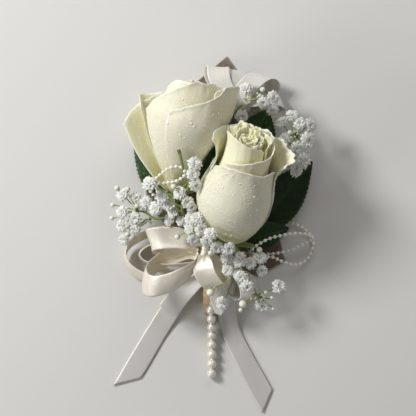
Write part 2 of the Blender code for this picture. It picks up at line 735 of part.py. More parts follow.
def bead_string(name, route, outline, bead_radius, pitch, thread_radius, sides, finish):
    """Beads on a thread: one tube whose radius swells at each bead."""
    path = smooth_path(route, 12)
    lengths = [0.0]
    for a, b in zip(path, path[1:]):
        lengths.append(lengths[-1] + (b - a).length)

    def at(distance):
        for i in range(len(path) - 1):
            if distance <= lengths[i + 1]:
                share = (distance - lengths[i]) / (lengths[i + 1] - lengths[i])
                return path[i].lerp(path[i + 1], share)
        return path[-1]

    total = lengths[-1]
    count = int(total / pitch)
    start = (total - (count - 1) * pitch) / 2
    stations = [(0.0, thread_radius)]
    for i in range(count):
        centre = start + i * pitch
        for offset, swell in outline:
            stations.append((centre + offset * bead_radius, max(thread_radius, swell * bead_radius)))
    stations.append((total, thread_radius))
    middle = [at(max(0.0, min(total, distance))) for distance, radius in stations]
    return new_object(name, tube(middle, [radius for distance, radius in stations], sides), finish)


# Leaves: base, tip, width, arch and sideways roll in degrees
LEAVES = {
    "leaf_left": ((-17.0, 15.0, 9.0), (-39.8, 46.5, 3.0), 17.0, 0.6, 4),
    "leaf_between": ((-1.0, 17.6, 6.6), (0.2, 46.0, 5.6), 9.5, 0.2, -4),
    "leaf_top": ((15.5, 35.6, 9.2), (27.6, 63.0, 13.0), 21.0, 1.0, 0),
    "leaf_right": ((22.0, 2.0, 3.6), (50.0, 37.0, 4.2), 20.0, 0.6, 0),
    "leaf_low": ((14.0, -3.4, 6.8), (38.3, 3.4, 6.4), 13.0, 0.5, 0),
}

# Gypsophila sprays: the stalk's route, then x, y, z and size of each bloom and each bud
SPRAYS = {
    "gypsophila_left": (
        [(-24.0, 8.6, 13.8), (-28.5, 8.0, 15.0), (-33.5, 11.0, 16.0), (-38.5, 12.5, 17.0)],
        [
            (-45.2, 20.2, 18.0, 1.0),
            (-38.7, 19.0, 16.0, 0.9),
            (-33.4, 16.8, 19.0, 0.95),
            (-45.5, 11.5, 19.0, 1.0),
            (-38.8, 8.4, 19.0, 1.05),
            (-45.5, 4.5, 17.0, 1.0),
            (-39.2, 2.8, 16.5, 1.0),
            (-44.6, -2.4, 13.5, 0.9),
        ],
        [
            (-48.0, 23.5, 18.0, 1.0),
            (-42.8, 22.8, 18.0, 1.0),
            (-50.3, 15.0, 18.0, 0.9),
            (-38.2, 14.5, 20.0, 0.9),
            (-50.7, 8.4, 17.0, 0.9),
            (-42.8, 0.4, 19.0, 0.9),
        ],
    ),
    "gypsophila_upper": (
        [(-12, 6, 14), (-14, 9.5, 22), (-15.5, 14, 31), (-13, 22, 37), (-10.5, 29, 40.5)],
        [
            (-25.2, 19.2, 31.0, 1.0),
            (-22.0, 15.6, 27.0, 1.0),
            (-28.5, 13.2, 24.0, 1.1),
            (-16.5, 21.0, 36.5, 1.0),
            (-12.5, 16.4, 36.0, 0.95),
            (-31.5, 25.5, 36.8, 1.1),
            (-9.0, 35.4, 43.5, 1.1),
            (-10.0, 30.0, 44.0, 1.0),
            (-8.6, 24.8, 43.0, 1.0),
            (-20.0, 11.5, 25.0, 0.9),
            (-16.0, 7.0, 23.0, 0.85),
            (-22.0, 7.6, 20.5, 0.9),
            (-10.6, 13.8, 35.0, 0.9),
        ],
        [
            (-19.5, 24.0, 39.0, 1.1),
            (-16.8, 41.6, 47.0, 0.8),
        ],
    ),
    "gypsophila_centre": (
        [(-4.0, 2.2, 14.0), (-8.0, 3.0, 20.0), (-10.0, 3.0, 28.0), (-8.0, 0.4, 34.0), (-2.6, -3.6, 37.0)],
        [
            (-11.2, 8.0, 31.0, 1.0),
            (-7.9, 8.4, 38.8, 1.0),
            (-11.6, 3.4, 31.5, 0.9),
            (-5.8, 3.0, 39.0, 1.05),
            (-9.6, -2.0, 30.5, 1.0),
            (-3.0, -2.4, 38.5, 0.95),
            (-1.2, 0.8, 42.5, 1.0),
            (1.8, -6.0, 37.6, 1.05),
            (7.8, -6.6, 37.4, 1.0),
        ],
        [
            (-1.2, -8.4, 32.0, 1.2),
            (-17.7, -0.8, 25.0, 1.1),
        ],
    ),
    "gypsophila_low": (
        [(14, -13, 14), (14.4, -14, 20), (16, -19, 24.5), (20, -26, 24), (23, -31.5, 22)],
        [
            (6.6, -11.0, 28.0, 1.0),
            (13.2, -12.2, 28.5, 1.15),
            (23.5, -11.4, 22.0, 1.05),
            (18.6, -14.0, 26.5, 0.9),
            (7.4, -17.4, 27.0, 0.95),
            (13.9, -20.8, 28.0, 1.0),
            (17.0, -25.5, 28.0, 1.05),
            (24.4, -18.0, 22.0, 0.9),
            (33.0, -25.7, 20.0, 1.15),
            (24.5, -35.3, 18.0, 1.1),
        ],
        [
            (-1.2, -28.4, 28.0, 1.6),
            (15.0, -34.3, 22.5, 1.6),
            (13.9, -37.4, 21.0, 0.9),
            (23.1, -7.4, 24.0, 1.2),
            (26.2, -28.8, 22.0, 0.8),
            (29.2, -31.4, 20.0, 0.9),
            (30.0, -36.9, 17.0, 0.8),
        ],
    ),
    "gypsophila_right": (
        [(28.0, 26.0, 10.2), (33.0, 34.0, 14.0), (38.0, 42.0, 19.0), (41.5, 50.0, 22.0)],
        [
            (39.6, 59.6, 23.0, 1.0),
            (43.2, 55.6, 24.0, 0.95),
            (48.5, 55.0, 22.0, 1.0),
            (47.4, 47.2, 24.5, 1.25),
            (35.6, 48.4, 20.0, 0.9),
            (41.8, 43.4, 23.0, 1.0),
            (45.0, 37.1, 23.5, 1.25),
            (41.8, 32.4, 19.0, 1.1),
            (34.4, 56.6, 19.0, 1.0),
        ],
        [
            (38.3, 51.0, 25.0, 1.0),
            (48.4, 50.8, 20.0, 1.0),
        ],
    ),
    "gypsophila_top": (
        [(7.0, 46.0, 10.2), (6.4, 54.0, 14.0), (12.5, 63.5, 18.4), (21.0, 68.0, 19.0), (26.5, 67.6, 18.6)],
        [
            (16.2, 73.5, 19.0, 1.05),
            (14.4, 59.4, 18.5, 1.0),
            (30.3, 69.0, 19.0, 1.0),
            (25.2, 66.0, 20.5, 1.0),
            (29.6, 62.6, 18.5, 0.95),
        ],
        [
            (24.8, 72.6, 20.0, 1.1),
            (23.4, 69.8, 20.0, 0.8),
            (16.4, 65.6, 20.0, 0.9),
        ],
    ),
}

# Routes of the strings, from the end that is tied in
PEARL_ROUTE = [(-1.1, -33.6, 10.2), (-1.0, -37.5, 9.9), (-0.8, -42.3, 8.2), (-0.5, -47.0, 5.2)]
PEARL_ROUTE += [(-0.5, -51.6, 2.9), (-0.5, -56.2, 2.45), (-0.5, -65.5, 2.45), (-0.75, -72.7, 2.45)]
BEADS_LEFT = [(-23.2, 12.8, 16.0), (-27.0, 17.0, 20.0), (-32.6, 24.5, 27.0), (-28.2, 28.2, 33.0)]
BEADS_LEFT += [(-22.5, 32.7, 37.4), (-17.5, 34.0, 39.0), (-14.4, 32.6, 39.6), (-14.2, 29.4, 38.6)]
BEADS_LEFT += [(-18.3, 26.8, 35.8), (-23.0, 25.9, 32.4), (-28.2, 24.6, 28.0), (-24.4, 14.0, 17.0)]
BEADS_LEFT += [(-22.0, 13.4, 16.2)]
BEADS_UPPER = [(18.2, -8.4, 10.4), (22.5, -5.0, 11.4), (28.6, -1.8, 11.4), (36.2, 0.0, 10.4)]
BEADS_UPPER += [(41.4, 0.7, 9.6), (46.0, 0.4, 8.6), (49.0, -0.6, 7.4), (50.3, -1.8, 5.6), (48.8, -3.2, 3.6)]
BEADS_UPPER += [(45.8, -4.8, 2.8), (39.6, -7.6, 3.0), (33.3, -9.2, 3.6), (26.0, -9.8, 5.6), (18.2, -9.4, 7.6)]
BEADS_LOWER = [(18.0, -10.2, 9.0), (23.5, -11.6, 8.6), (30.0, -11.3, 7.6), (36.2, -14.0, 5.0)]
BEADS_LOWER += [(42.3, -15.0, 3.0), (47.3, -12.8, 1.6), (50.0, -8.0, 1.1), (50.8, -3.6, 1.1)]
BEADS_LOWER += [(49.2, -0.2, 1.1), (45.6, 3.2, 1.1), (40.8, 5.6, 1.1), (35.0, 6.6, 1.4), (27.0, 1.0, 2.2)]
BEADS_LOWER += [(21.0, -6.4, 4.4), (17.2, -9.6, 6.8)]


def main():
    """Build the whole corsage."""
    clear_scene()
    draws = random.Random(SEED)
    rose_cream = material("rose_cream", (0.83, 0.79, 0.62), 0.55)
    leaf_green = material("leaf_green", (0.035, 0.11, 0.025), 0.45)
    calyx_green = material("calyx_green", (0.16, 0.24, 0.05), 0.5)
    floret_white = material("floret_white", (0.85, 0.87, 0.82), 0.6)
    satin = material("satin_cream", (0.80, 0.74, 0.62), 0.32)
    sheer = material("organza_grey", (0.72, 0.68, 0.62), 0.5)
    taupe = material("taupe_ribbon", (0.24, 0.18, 0.13), 0.75)
    tape = material("floral_tape", (0.30, 0.22, 0.14), 0.7)
    pearl = material("pearl", (0.84, 0.80, 0.72), 0.22)

    backing_ribbon(taupe)
    taped_stems(tape)
    rose_petals("rose_upper_petals", UPPER_ROSE, rose_cream)
    rose_petals("rose_lower_petals", LOWER_ROSE, rose_cream)
    satin_bow(satin)
    satin_tails(satin)
    organza(sheer)
    rose_calyx("rose_upper_calyx", UPPER_ROSE, UPPER_SEPALS, calyx_green)
    rose_calyx("rose_lower_calyx", LOWER_ROSE, LOWER_SEPALS, calyx_green)
    for name, values in LEAVES.items():
        leaf(name, *values, leaf_green)
    for name, (stalk, florets, buds) in SPRAYS.items():
        spray(name, stalk, florets, buds, draws, floret_white)
    large = (ROUND_BEAD, PEARL_RADIUS, PEARL_PITCH, PEARL_THREAD_RADIUS, 6)
    small = (SMALL_BEAD, BEAD_RADIUS, BEAD_PITCH, BEAD_THREAD_RADIUS, 4)
    bead_string("pearl_drop", PEARL_ROUTE, *large, pearl)
    bead_string("beads_left", BEADS_LEFT, *small, pearl)
    bead_string("beads_right_upper", BEADS_UPPER, *small, pearl)
    bead_string("beads_right_lower", BEADS_LOWER, *small, pearl)


if __name__ == "__main__":
    main()
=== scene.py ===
"""Looks of a corsage: two cream roses, leaves, gypsophila, satin and organza, and bead strings.

It loads the packed frame and dresses it. Metres in Blender; points below are written in
millimetres in the frame of the packed model: z = 0 is the surface, +Y runs from the handle to the
top of the roses, and +Z is up.
"""

import math
import random

import bmesh
import bpy
from mathutils import Matrix, Quaternion, Vector, noise
from mathutils.bvhtree import BVHTree


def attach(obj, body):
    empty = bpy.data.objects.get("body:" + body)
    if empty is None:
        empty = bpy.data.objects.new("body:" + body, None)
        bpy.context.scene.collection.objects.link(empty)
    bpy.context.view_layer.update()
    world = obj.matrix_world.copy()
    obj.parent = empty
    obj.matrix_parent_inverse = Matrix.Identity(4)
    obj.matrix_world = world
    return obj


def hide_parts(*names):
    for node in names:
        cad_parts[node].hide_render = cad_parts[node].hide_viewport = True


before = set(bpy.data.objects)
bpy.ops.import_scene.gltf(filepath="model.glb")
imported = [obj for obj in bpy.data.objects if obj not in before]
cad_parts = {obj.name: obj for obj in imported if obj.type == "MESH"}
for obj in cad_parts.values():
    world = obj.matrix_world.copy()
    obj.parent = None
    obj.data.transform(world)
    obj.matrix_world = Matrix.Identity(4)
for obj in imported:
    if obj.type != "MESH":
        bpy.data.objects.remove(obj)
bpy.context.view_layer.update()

bl_info = {
    "name": "Corsage dresser",
    "version": (1, 0, 0),
    "blender": (4, 5, 0),
    "location": "View3D > Sidebar > Corsage",
    "description": "Builds the roses, leaves, gypsophila, ribbons and beads of a corsage",
    "category": "Add Mesh",
}

MM = 0.001
SEED = 11


def colour_setting(name, description, default):
    """A colour setting."""
    return bpy.props.FloatVectorProperty(
        name=name, description=description, subtype="COLOR", default=default
    )


def length_setting(name, description, default):
    """A setting in metres."""
    return bpy.props.FloatProperty(name=name, description=description, default=default, unit="LENGTH")


def count_setting(name, description, default):
    """A setting that counts."""
    return bpy.props.IntProperty(name=name, description=description, default=default)


class CorsageRoseSettings(bpy.types.PropertyGroup):
    """Sizes and colours of the two roses."""

    petal_thickness: length_setting("Petal thickness", "Thickness of a petal in its middle", 0.00055)
    steps_up: count_setting("Steps up a petal", "Mesh rows from the base to the rim", 44)
    cream: colour_setting("Cream", "Colour of the petals", (0.86, 0.82, 0.63))
    # base_green_and_shade: yellow green towards the base, partly the rose's own colour and partly painted
    # shade
    base_green_and_shade: colour_setting("Base", "Yellow green towards the base", (0.68, 0.63, 0.30))
    # inner_shade_green: painted shade on the petals' inner faces
    inner_shade_green: colour_setting("Inside", "Colour of the inner faces", (0.80, 0.78, 0.50))
    dew: count_setting("Dew drops", "Drops thrown at each rose", 900)


class CorsageGreenSettings(bpy.types.PropertyGroup):
    """Colours of the leaves and calyxes."""

    leaf_thickness: length_setting("Leaf thickness", "Thickness of a leaf", 0.0005)
    leaf_dark: colour_setting("Leaf", "Colour between the veins", (0.012, 0.045, 0.008))
    leaf_light: colour_setting("Vein", "Colour of the veins", (0.06, 0.14, 0.025))
    calyx: colour_setting("Calyx", "Colour of hips, sepals and stems", (0.22, 0.33, 0.06))


class CorsageSpraySettings(bpy.types.PropertyGroup):
    """Sizes and colours of the gypsophila."""

    bloom_radius: length_setting("Bloom radius", "Radius of a bloom of size 1", 0.0034)
    bud_radius: length_setting("Bud radius", "Radius of a closed bud of size 1", 0.00125)
    white: colour_setting("White", "Colour of the petals", (0.93, 0.93, 0.89))
    heart: colour_setting("Heart", "Green in the middle of a bloom", (0.42, 0.52, 0.20))


class CorsageRibbonSettings(bpy.types.PropertyGroup):
    """Sizes and colours of the ribbons."""

    thickness: length_setting("Ribbon thickness", "Thickness of the satin", 0.0004)
    satin: colour_setting("Satin", "Colour of the satin's outside", (0.90, 0.83, 0.70))
    satin_back: colour_setting("Satin back", "Colour of the satin's dull side", (0.94, 0.87, 0.70))
    # Painted shade: the loose tails are the same satin, painted greyer for the dull reflection of the
    # flat-lying ribbon
    tail: colour_setting("Tails", "Colour of the satin's loose tails", (0.72, 0.70, 0.68))
    organza: colour_setting("Organza", "Colour of the sheer ribbon", (0.82, 0.80, 0.76))
    taupe: colour_setting("Taupe", "Colour of the backing ribbon", (0.19, 0.14, 0.10))


class CorsageBeadSettings(bpy.types.PropertyGroup):
    """Sizes and colours of the pearls and beads."""

    pearl_radius: length_setting("Pearl radius", "Radius of a large pearl", 0.0024)
    bead_radius: length_setting("Bead radius", "Radius of a small bead", 0.00095)
    pearl: colour_setting("Pearl", "Colour of pearls and beads", (0.86, 0.81, 0.70))


class CorsageStageSettings(bpy.types.PropertyGroup):
    """Floor, light and camera."""

    view_width: length_setting("View width", "Width of the picture at the flowers", 0.208)
    camera_height: length_setting("Camera height", "Distance from the flowers to the camera", 1.5)
    floor: colour_setting("Floor", "Colour of the floor", (0.72, 0.71, 0.69))


SETTINGS = {
    "corsage_rose": CorsageRoseSettings,
    "corsage_green": CorsageGreenSettings,
    "corsage_spray": CorsageSpraySettings,
    "corsage_ribbon": CorsageRibbonSettings,
    "corsage_bead": CorsageBeadSettings,
    "corsage_stage": CorsageStageSettings,
}


# Curves and small sums


def smoothstep(t):
    """0 below 0, 1 above 1, and an S curve between."""
    t = min(1.0, max(0.0, t))
    return t * t * (3 - 2 * t)


def curve_point(a, b, c, d, t):
    """The point at t, 0 to 1, from b to c on the Catmull-Rom curve through four values."""
    bend = (2 * a - 5 * b + 4 * c - d) * t**2 + (3 * b - a - 3 * c + d) * t**3
    return 0.5 * (2 * b + (c - a) * t + bend)


def smooth_path(points, steps):
    """Points of a smooth curve through the given ones, with this many steps a stretch."""
    points = [Vector(p) for p in points]
    padded = [2 * points[0] - points[1], *points, 2 * points[-1] - points[-2]]
    path = []
    for stretch in zip(padded, padded[1:], padded[2:], padded[3:]):
        path += [curve_point(*stretch, step / steps) for step in range(steps)]
    path.append(points[-1])
    return path


def spread(values, share):
    """A smooth value at a share, 0 to 1, of the way along an evenly spaced list."""
    if not isinstance(values, tuple):
        return values
    place = min(max(share, 0.0), 1.0) * (len(values) - 1)
    i = min(int(place), len(values) - 2)
    before, after = values[max(i - 1, 0)], values[min(i + 2, len(values) - 1)]
    return curve_point(before, values[i], values[i + 1], after, place - i)


def distances(path):
    """How far along the path each of its points is."""
    along = [0.0]
    for a, b in zip(path, path[1:]):
        along.append(along[-1] + (b - a).length)
    return along


# Meshes


def link_object(name, data, place=(0.0, 0.0, 0.0)):
    """A new object in the scene, at a place in metres."""
    obj = bpy.data.objects.new(name, data)
    obj.location = place
    bpy.context.scene.collection.objects.link(obj)
    return obj


class Shape:
    """Vertices, faces and values of each vertex, gathered before they become a mesh."""

    def __init__(self):
        self.vertices = []
        self.faces = []
        self.values = {}

    def add(self, vertices, faces, **values):
        """Add a closed shape, turned to face out, with a value or a list of them for each name."""
        volume = 0.0
        for face in faces:
            first = vertices[face[0]]
            for second, third in zip(face[1:], face[2:]):
                volume += first.dot(vertices[second].cross(vertices[third]))
        start = len(self.vertices)
        for face in faces:
            corners = reversed(face) if volume < 0 else face
            self.faces.append([start + corner for corner in corners])
        self.vertices += vertices
        for name in values:
            self.values.setdefault(name, [0.0] * start)
        for name, column in self.values.items():
            given = values.get(name, 0.0)
            column += given if isinstance(given, list) else [given] * len(vertices)

    def piece(self, name, finish, slot, *nodes):
        """The mesh object in a material, riding on the frame and standing for CAD nodes."""
        mesh = bpy.data.meshes.new(name)
        mesh.from_pydata([vertex * MM for vertex in self.vertices], [], self.faces)
        mesh.materials.append(bpy.data.materials[finish])
        mesh.polygons.foreach_set("use_smooth", [True] * len(self.faces))
        for value, column in self.values.items():
            made = mesh.attributes.new(value, "FLOAT", "POINT")
            made.data.foreach_set("value", column)
        mesh.update()
        obj = link_object(name, mesh)
        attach(obj, "root")
        if nodes:
            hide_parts(*nodes)
        return obj


def grid_normals(rows):
    """A normal at each point of a grid."""
    count, width = len(rows), len(rows[0])
    normals = []
    for i in range(count):
        for j in range(width):
            along = rows[min(i + 1, count - 1)][j] - rows[max(i - 1, 0)][j]
            across = rows[i][min(j + 1, width - 1)] - rows[i][max(j - 1, 0)]
            normals.append(along.cross(across).normalized())
    return normals


def blade(rows, thickness, rim=0.45):
    """A closed thin shape round a grid of points, thinner at its rim: vertices and faces.

    The first half of the vertices is the side that along x across points to.
    """
    count, width = len(rows), len(rows[0])
    normals = grid_normals(rows)
    upper, lower = [], []
    for i in range(count):
        for j in range(width):
            edge = min(i, count - 1 - i, j, width - 1 - j)
            half = thickness / 2 * min(1.0, rim + (1 - rim) * edge / 2)
            offset = normals[i * width + j] * half
            upper.append(rows[i][j] + offset)
            lower.append(rows[i][j] - offset)
    under = count * width
    faces = []
    for i in range(count - 1):
        for j in range(width - 1):
            a, b = i * width + j, i * width + j + 1
            c, d = a + width, b + width
            faces.append((a, b, d, c))
            faces.append((under + a, under + c, under + d, under + b))
    border = list(range(width))
    border += [i * width + width - 1 for i in range(1, count)]
    border += [(count - 1) * width + j for j in range(width - 2, -1, -1)]
    border += [i * width for i in range(count - 2, 0, -1)]
    for a, b in zip(border, border[1:] + border[:1]):
        faces.append((b, a, under + a, under + b))
    return upper + lower, faces


def two_sides(count, first_inner):
    """1 for each vertex on a blade's inner side and 0 for the others, of this many in all."""
    first, second = (1.0, 0.0) if first_inner else (0.0, 1.0)
    return [first] * (count // 2) + [second] * (count // 2)


def ring_tube(path, radius_at, sides):
    """A closed tube along a path. radius_at(i, angle) gives its radius."""
    across = Vector((0, 0, 1))
    vertices = []
    for i, centre in enumerate(path):
        along = (path[min(i + 1, len(path) - 1)] - path[max(i - 1, 0)]).normalized()
        if abs(along.dot(across)) > 0.95:
            across = along.orthogonal()
        across = (across - along * across.dot(along)).normalized()
        beside = along.cross(across)
        for side in range(sides):
            angle = 2 * math.pi * side / sides
            spoke = across * math.cos(angle) + beside * math.sin(angle)
            vertices.append(centre + spoke * radius_at(i, angle))
    faces = []
    for i in range(len(path) - 1):
        for side in range(sides):
            a = i * sides + side
            b = i * sides + (side + 1) % sides
            faces.append((a, b, b + sides, a + sides))
    faces.append(tuple(reversed(range(sides))))
    faces.append(tuple(range((len(path) - 1) * sides, len(path) * sides)))
    return vertices, faces


def lathe(profile, sides):
    """A closed turned shape about Z from (radius, height) pairs, both ends on the axis."""
    vertices = [Vector((0, 0, profile[0][1]))]
    for radius, height in profile[1:-1]:
        for side in range(sides):
            angle = 2 * math.pi * side / sides
            vertices.append(Vector((radius * math.cos(angle), radius * math.sin(angle), height)))
    vertices.append(Vector((0, 0, profile[-1][1])))
    faces = []
    last = len(vertices) - 1
    for side in range(sides):
        faces.append((0, 1 + (side + 1) % sides, 1 + side))
        faces.append((last, last - sides + side, last - sides + (side + 1) % sides))
    for ring in range(len(profile) - 3):
        for side in range(sides):
            a = 1 + ring * sides + side
            b = 1 + ring * sides + (side + 1) % sides
            faces.append((a, b, b + sides, a + sides))
    return vertices, faces


def turned(facing, turn=0.0):
    """The turn that brings +Z to a direction."""
    return facing.to_track_quat("Z", "Y") @ Quaternion((0, 0, 1), turn)


# Shader building


class Graph:
    """Adds nodes to a shader tree. Values may be numbers, colours or sockets."""

    def __init__(self, tree):
        self.tree = tree

    def node(self, kind, values=None, **settings):
        """A new node with its settings, and with its sockets fed."""
        made = self.tree.nodes.new(kind)
        for name, value in settings.items():
            setattr(made, name, value)
        for socket, value in (values or {}).items():
            self.feed(made.inputs[socket], value)
        return made

    def feed(self, socket, value):
        """Link a socket to another one, or set its own value."""
        if isinstance(value, bpy.types.NodeSocket):
            self.tree.links.new(value, socket)
        elif socket.type == "RGBA":
            socket.default_value = (*value, 1.0)
        else:
            socket.default_value = value

    def value(self, name):
        """A value that the mesh holds for each vertex."""
        return self.node("ShaderNodeAttribute", attribute_name=name).outputs["Fac"]

    def sum(self, operation, a, b=0.0, c=0.0, clamp=False):
        """A sum of up to three values."""
        values = {0: a, 1: b, 2: c}
        return self.node("ShaderNodeMath", values, operation=operation, use_clamp=clamp).outputs[0]

    def times(self, a, b):
        """The product of two values."""
        return self.sum("MULTIPLY", a, b)

    def between(self, value, low, high, to_low=0.0, to_high=1.0):
        """value from low..high mapped to to_low..to_high, clamped and eased."""
        made = self.node(
            "ShaderNodeMapRange",
            {"Value": value, "From Min": low, "From Max": high, "To Min": to_low, "To Max": to_high},
            interpolation_type="SMOOTHSTEP",
        )
        return made.outputs["Result"]

    def patchy(self, value, low=0.0, high=1.0):
        """A noise, which mostly stays between 0.3 and 0.7, stretched to low..high."""
        return self.between(value, 0.3, 0.7, low, high)

    def mix(self, share, a, b):
        """Colour a with a share of colour b."""
        return self.node("ShaderNodeMix", {0: share, 6: a, 7: b}, data_type="RGBA").outputs[2]

    def tint(self, colour, mask, strength, other):
        """A colour with another one laid over it by a mask and a strength."""
        return self.mix(self.times(mask, strength), colour, other)

    def place(self, x, y, z):
        """A place from its three parts."""
        return self.node("ShaderNodeCombineXYZ", {"X": x, "Y": y, "Z": z}).outputs[0]

    def noise(self, where, scale, detail=2.0, roughness=0.5):
        """A noise, 0 to 1, at a place."""
        values = {"Vector": where, "Scale": scale, "Detail": detail, "Roughness": roughness}
        return self.node("ShaderNodeTexNoise", values).outputs["Fac"]

    def here(self):
        """Where a point is on the object, in metres."""
        return self.node("ShaderNodeTexCoord").outputs["Object"]

    def group(self, name, **values):
        """The outputs of a shader group with its sockets fed."""
        made = self.node("ShaderNodeGroup", node_tree=bpy.data.node_groups[name])
        for socket, value in values.items():
            self.feed(made.inputs[socket], value)
        return made.outputs

    def tone(self, patch, speck):
        """Patches and specks, by how many of them go to a metre."""
        return self.group("surface_tone", Patch=patch, Speck=speck)

    def growth(self, lines, part=0.0):
        """Growth lines by the values that petals and leaves hold. part sets each one apart."""
        across, rise = self.value("across"), self.value("rise")
        return self.group("growth_lines", Across=across, Rise=rise, Part=part, Lines=lines)

    def weave(self, thread, selvage):
        """A weave by the distances that ribbons hold, its thread and selvage in millimetres."""
        along, wide, edge = self.value("along"), self.value("wide"), self.value("edge")
        return self.group(
            "ribbon_weave", Along=along, Across=wide, Edge=edge, Thread=thread, Selvage=selvage
        )


def shader_group(name, inputs, outputs):
    """An empty shader group with float sockets: its graph, its inputs and its output node."""
    tree = bpy.data.node_groups.new(name, "ShaderNodeTree")
    for socket, default in inputs.items():
        made = tree.interface.new_socket(name=socket, in_out="INPUT", socket_type="NodeSocketFloat")
        made.default_value = default
    for socket in outputs:
        tree.interface.new_socket(name=socket, in_out="OUTPUT", socket_type="NodeSocketFloat")
    graph = Graph(tree)
    return graph, graph.node("NodeGroupInput").outputs, graph.node("NodeGroupOutput").inputs


def make_growth_lines():
    """Fine lines that run up a petal or leaf, with soft patches of tone."""
    inputs = {"Across": 0.0, "Rise": 0.0, "Part": 0.0, "Lines": 40.0}
    graph, given, put = shader_group("growth_lines", inputs, ("Lines", "Patches"))
    part = graph.times(given["Part"], 17.0)
    up = graph.times(given["Rise"], 2.2)
    fine = graph.place(graph.times(given["Across"], given["Lines"]), up, part)
    broad = graph.place(graph.times(given["Across"], 3.0), up, part)
    graph.feed(put["Lines"], graph.noise(fine, 1.0, 3.0, 0.6))
    graph.feed(put["Patches"], graph.noise(broad, 1.0, 2.0))


def make_surface_tone():
    """Patches and specks that are fixed to the object, for any material."""
    inputs = {"Patch": 120.0, "Speck": 1500.0}
    graph, given, put = shader_group("surface_tone", inputs, ("Patches", "Specks"))
    where = graph.here()
    graph.feed(put["Patches"], graph.noise(where, given["Patch"], 2.0))
    specks = graph.noise(where, given["Speck"], 1.0)
    graph.feed(put["Specks"], graph.between(specks, 0.51, 0.66))


def make_ribbon_weave():
    """Threads of a ribbon from its distances along and across, and its selvage."""
    inputs = {"Along": 0.0, "Across": 0.0, "Edge": 5.0, "Thread": 0.2, "Selvage": 0.5}
    graph, given, put = shader_group("ribbon_weave", inputs, ("Threads", "Cross", "Selvage"))
    turn = graph.sum("DIVIDE", 2 * math.pi, given["Thread"])
    warp = graph.sum("SINE", graph.times(given["Across"], turn))
    weft = graph.sum("SINE", graph.times(given["Along"], turn))
    graph.feed(put["Threads"], graph.sum("MULTIPLY_ADD", warp, 0.5, 0.5))
    graph.feed(put["Cross"], graph.sum("MULTIPLY_ADD", graph.times(warp, weft), 0.5, 0.5))
    # The selvage is whole over its outer 0.7 and fades over the rest
    past = graph.sum("SUBTRACT", given["Edge"], graph.times(given["Selvage"], 0.7))
    soft = graph.sum("DIVIDE", past, graph.times(given["Selvage"], 0.3))
    graph.feed(put["Selvage"], graph.sum("SUBTRACT", 1.0, soft, clamp=True))


class Finish(Graph):
    """A Principled material with its graph. Constants go on the shader's own sockets."""

    def __init__(self, name, roughness, **constants):
        self.material = bpy.data.materials.new(name)
        self.material.use_nodes = True
        super().__init__(self.material.node_tree)
        self.shader = self.tree.nodes["Principled BSDF"]
        self.feed(self.shader.inputs["Roughness"], roughness)
        for socket, value in constants.items():
            self.feed(self.shader.inputs[socket.replace("_", " ")], value)

    def surface(self, colour, rough, relief, depth, strength):
        """Colour, roughness and a bump, whose depth is in metres."""
        values = {"Height": relief, "Distance": depth, "Strength": strength}
        self.feed(self.shader.inputs["Base Color"], colour)
        self.feed(self.shader.inputs["Roughness"], rough)
        self.feed(self.shader.inputs["Normal"], self.node("ShaderNodeBump", values).outputs["Normal"])


def petal_finish(settings):
    """Rose petal: cream, yellow green to its base, partly its own colour and partly painted shade, painted
    shade on its inner faces, a paler thin rim with a painted highlight, a heart painted yellower and brighter
    for its glow, and painted glints of dew.
    """
    graph = Finish(
        "rose_petal",
        0.5,
        Subsurface_Weight=0.22,
        Subsurface_Radius=(1.0, 0.85, 0.45),
        Subsurface_Scale=0.0022,
        Sheen_Weight=0.06,
        Specular_IOR_Level=0.4,
    )
    line_tan, glint_white, heart_glow_yellow = (0.58, 0.53, 0.28), (0.98, 0.97, 0.90), (1.0, 0.99, 0.62)
    rim_highlight_cream, rim_highlight_yellow = (0.97, 0.96, 0.88), (0.95, 0.93, 0.72)
    lines = graph.growth(lines=38.0, part=graph.value("part"))
    tone = graph.tone(patch=90.0, speck=1300.0)
    height = graph.sum("MULTIPLY_ADD", lines["Patches"], 0.14, graph.value("rise"))
    low = graph.between(height, 0.16, 0.54, 1.0, 0.0)
    # Towards the base: partly the rose's own yellow green, partly painted shade deep in the flower
    outside = graph.tint(settings.cream, low, 0.8, settings.base_green_and_shade)
    # Painted shade on the petals' inner faces, yellow greener towards the base
    inside = graph.mix(low, settings.inner_shade_green, settings.base_green_and_shade)
    colour = graph.tint(outside, graph.value("inner"), 0.65, inside)
    colour = graph.tint(colour, graph.patchy(lines["Lines"]), 0.10, line_tan)
    # White specks: painted glints of fine dew
    colour = graph.tint(colour, tone["Specks"], 0.3, glint_white)
    # The heart's petals: yellower, and painted brighter for their glow
    heart = graph.value("heart")
    colour = graph.tint(colour, heart, 0.5, heart_glow_yellow)
    # The thin rim is paler, with a painted highlight along it
    colour = graph.tint(colour, graph.value("rim"), 0.85, graph.mix(heart, rim_highlight_cream, rim_highlight_yellow))
    relief = graph.sum("MULTIPLY_ADD", tone["Specks"], 0.5, lines["Lines"])
    rough = graph.patchy(tone["Patches"], 0.44, 0.58)
    graph.surface(colour, rough, relief, depth=0.00012, strength=0.6)


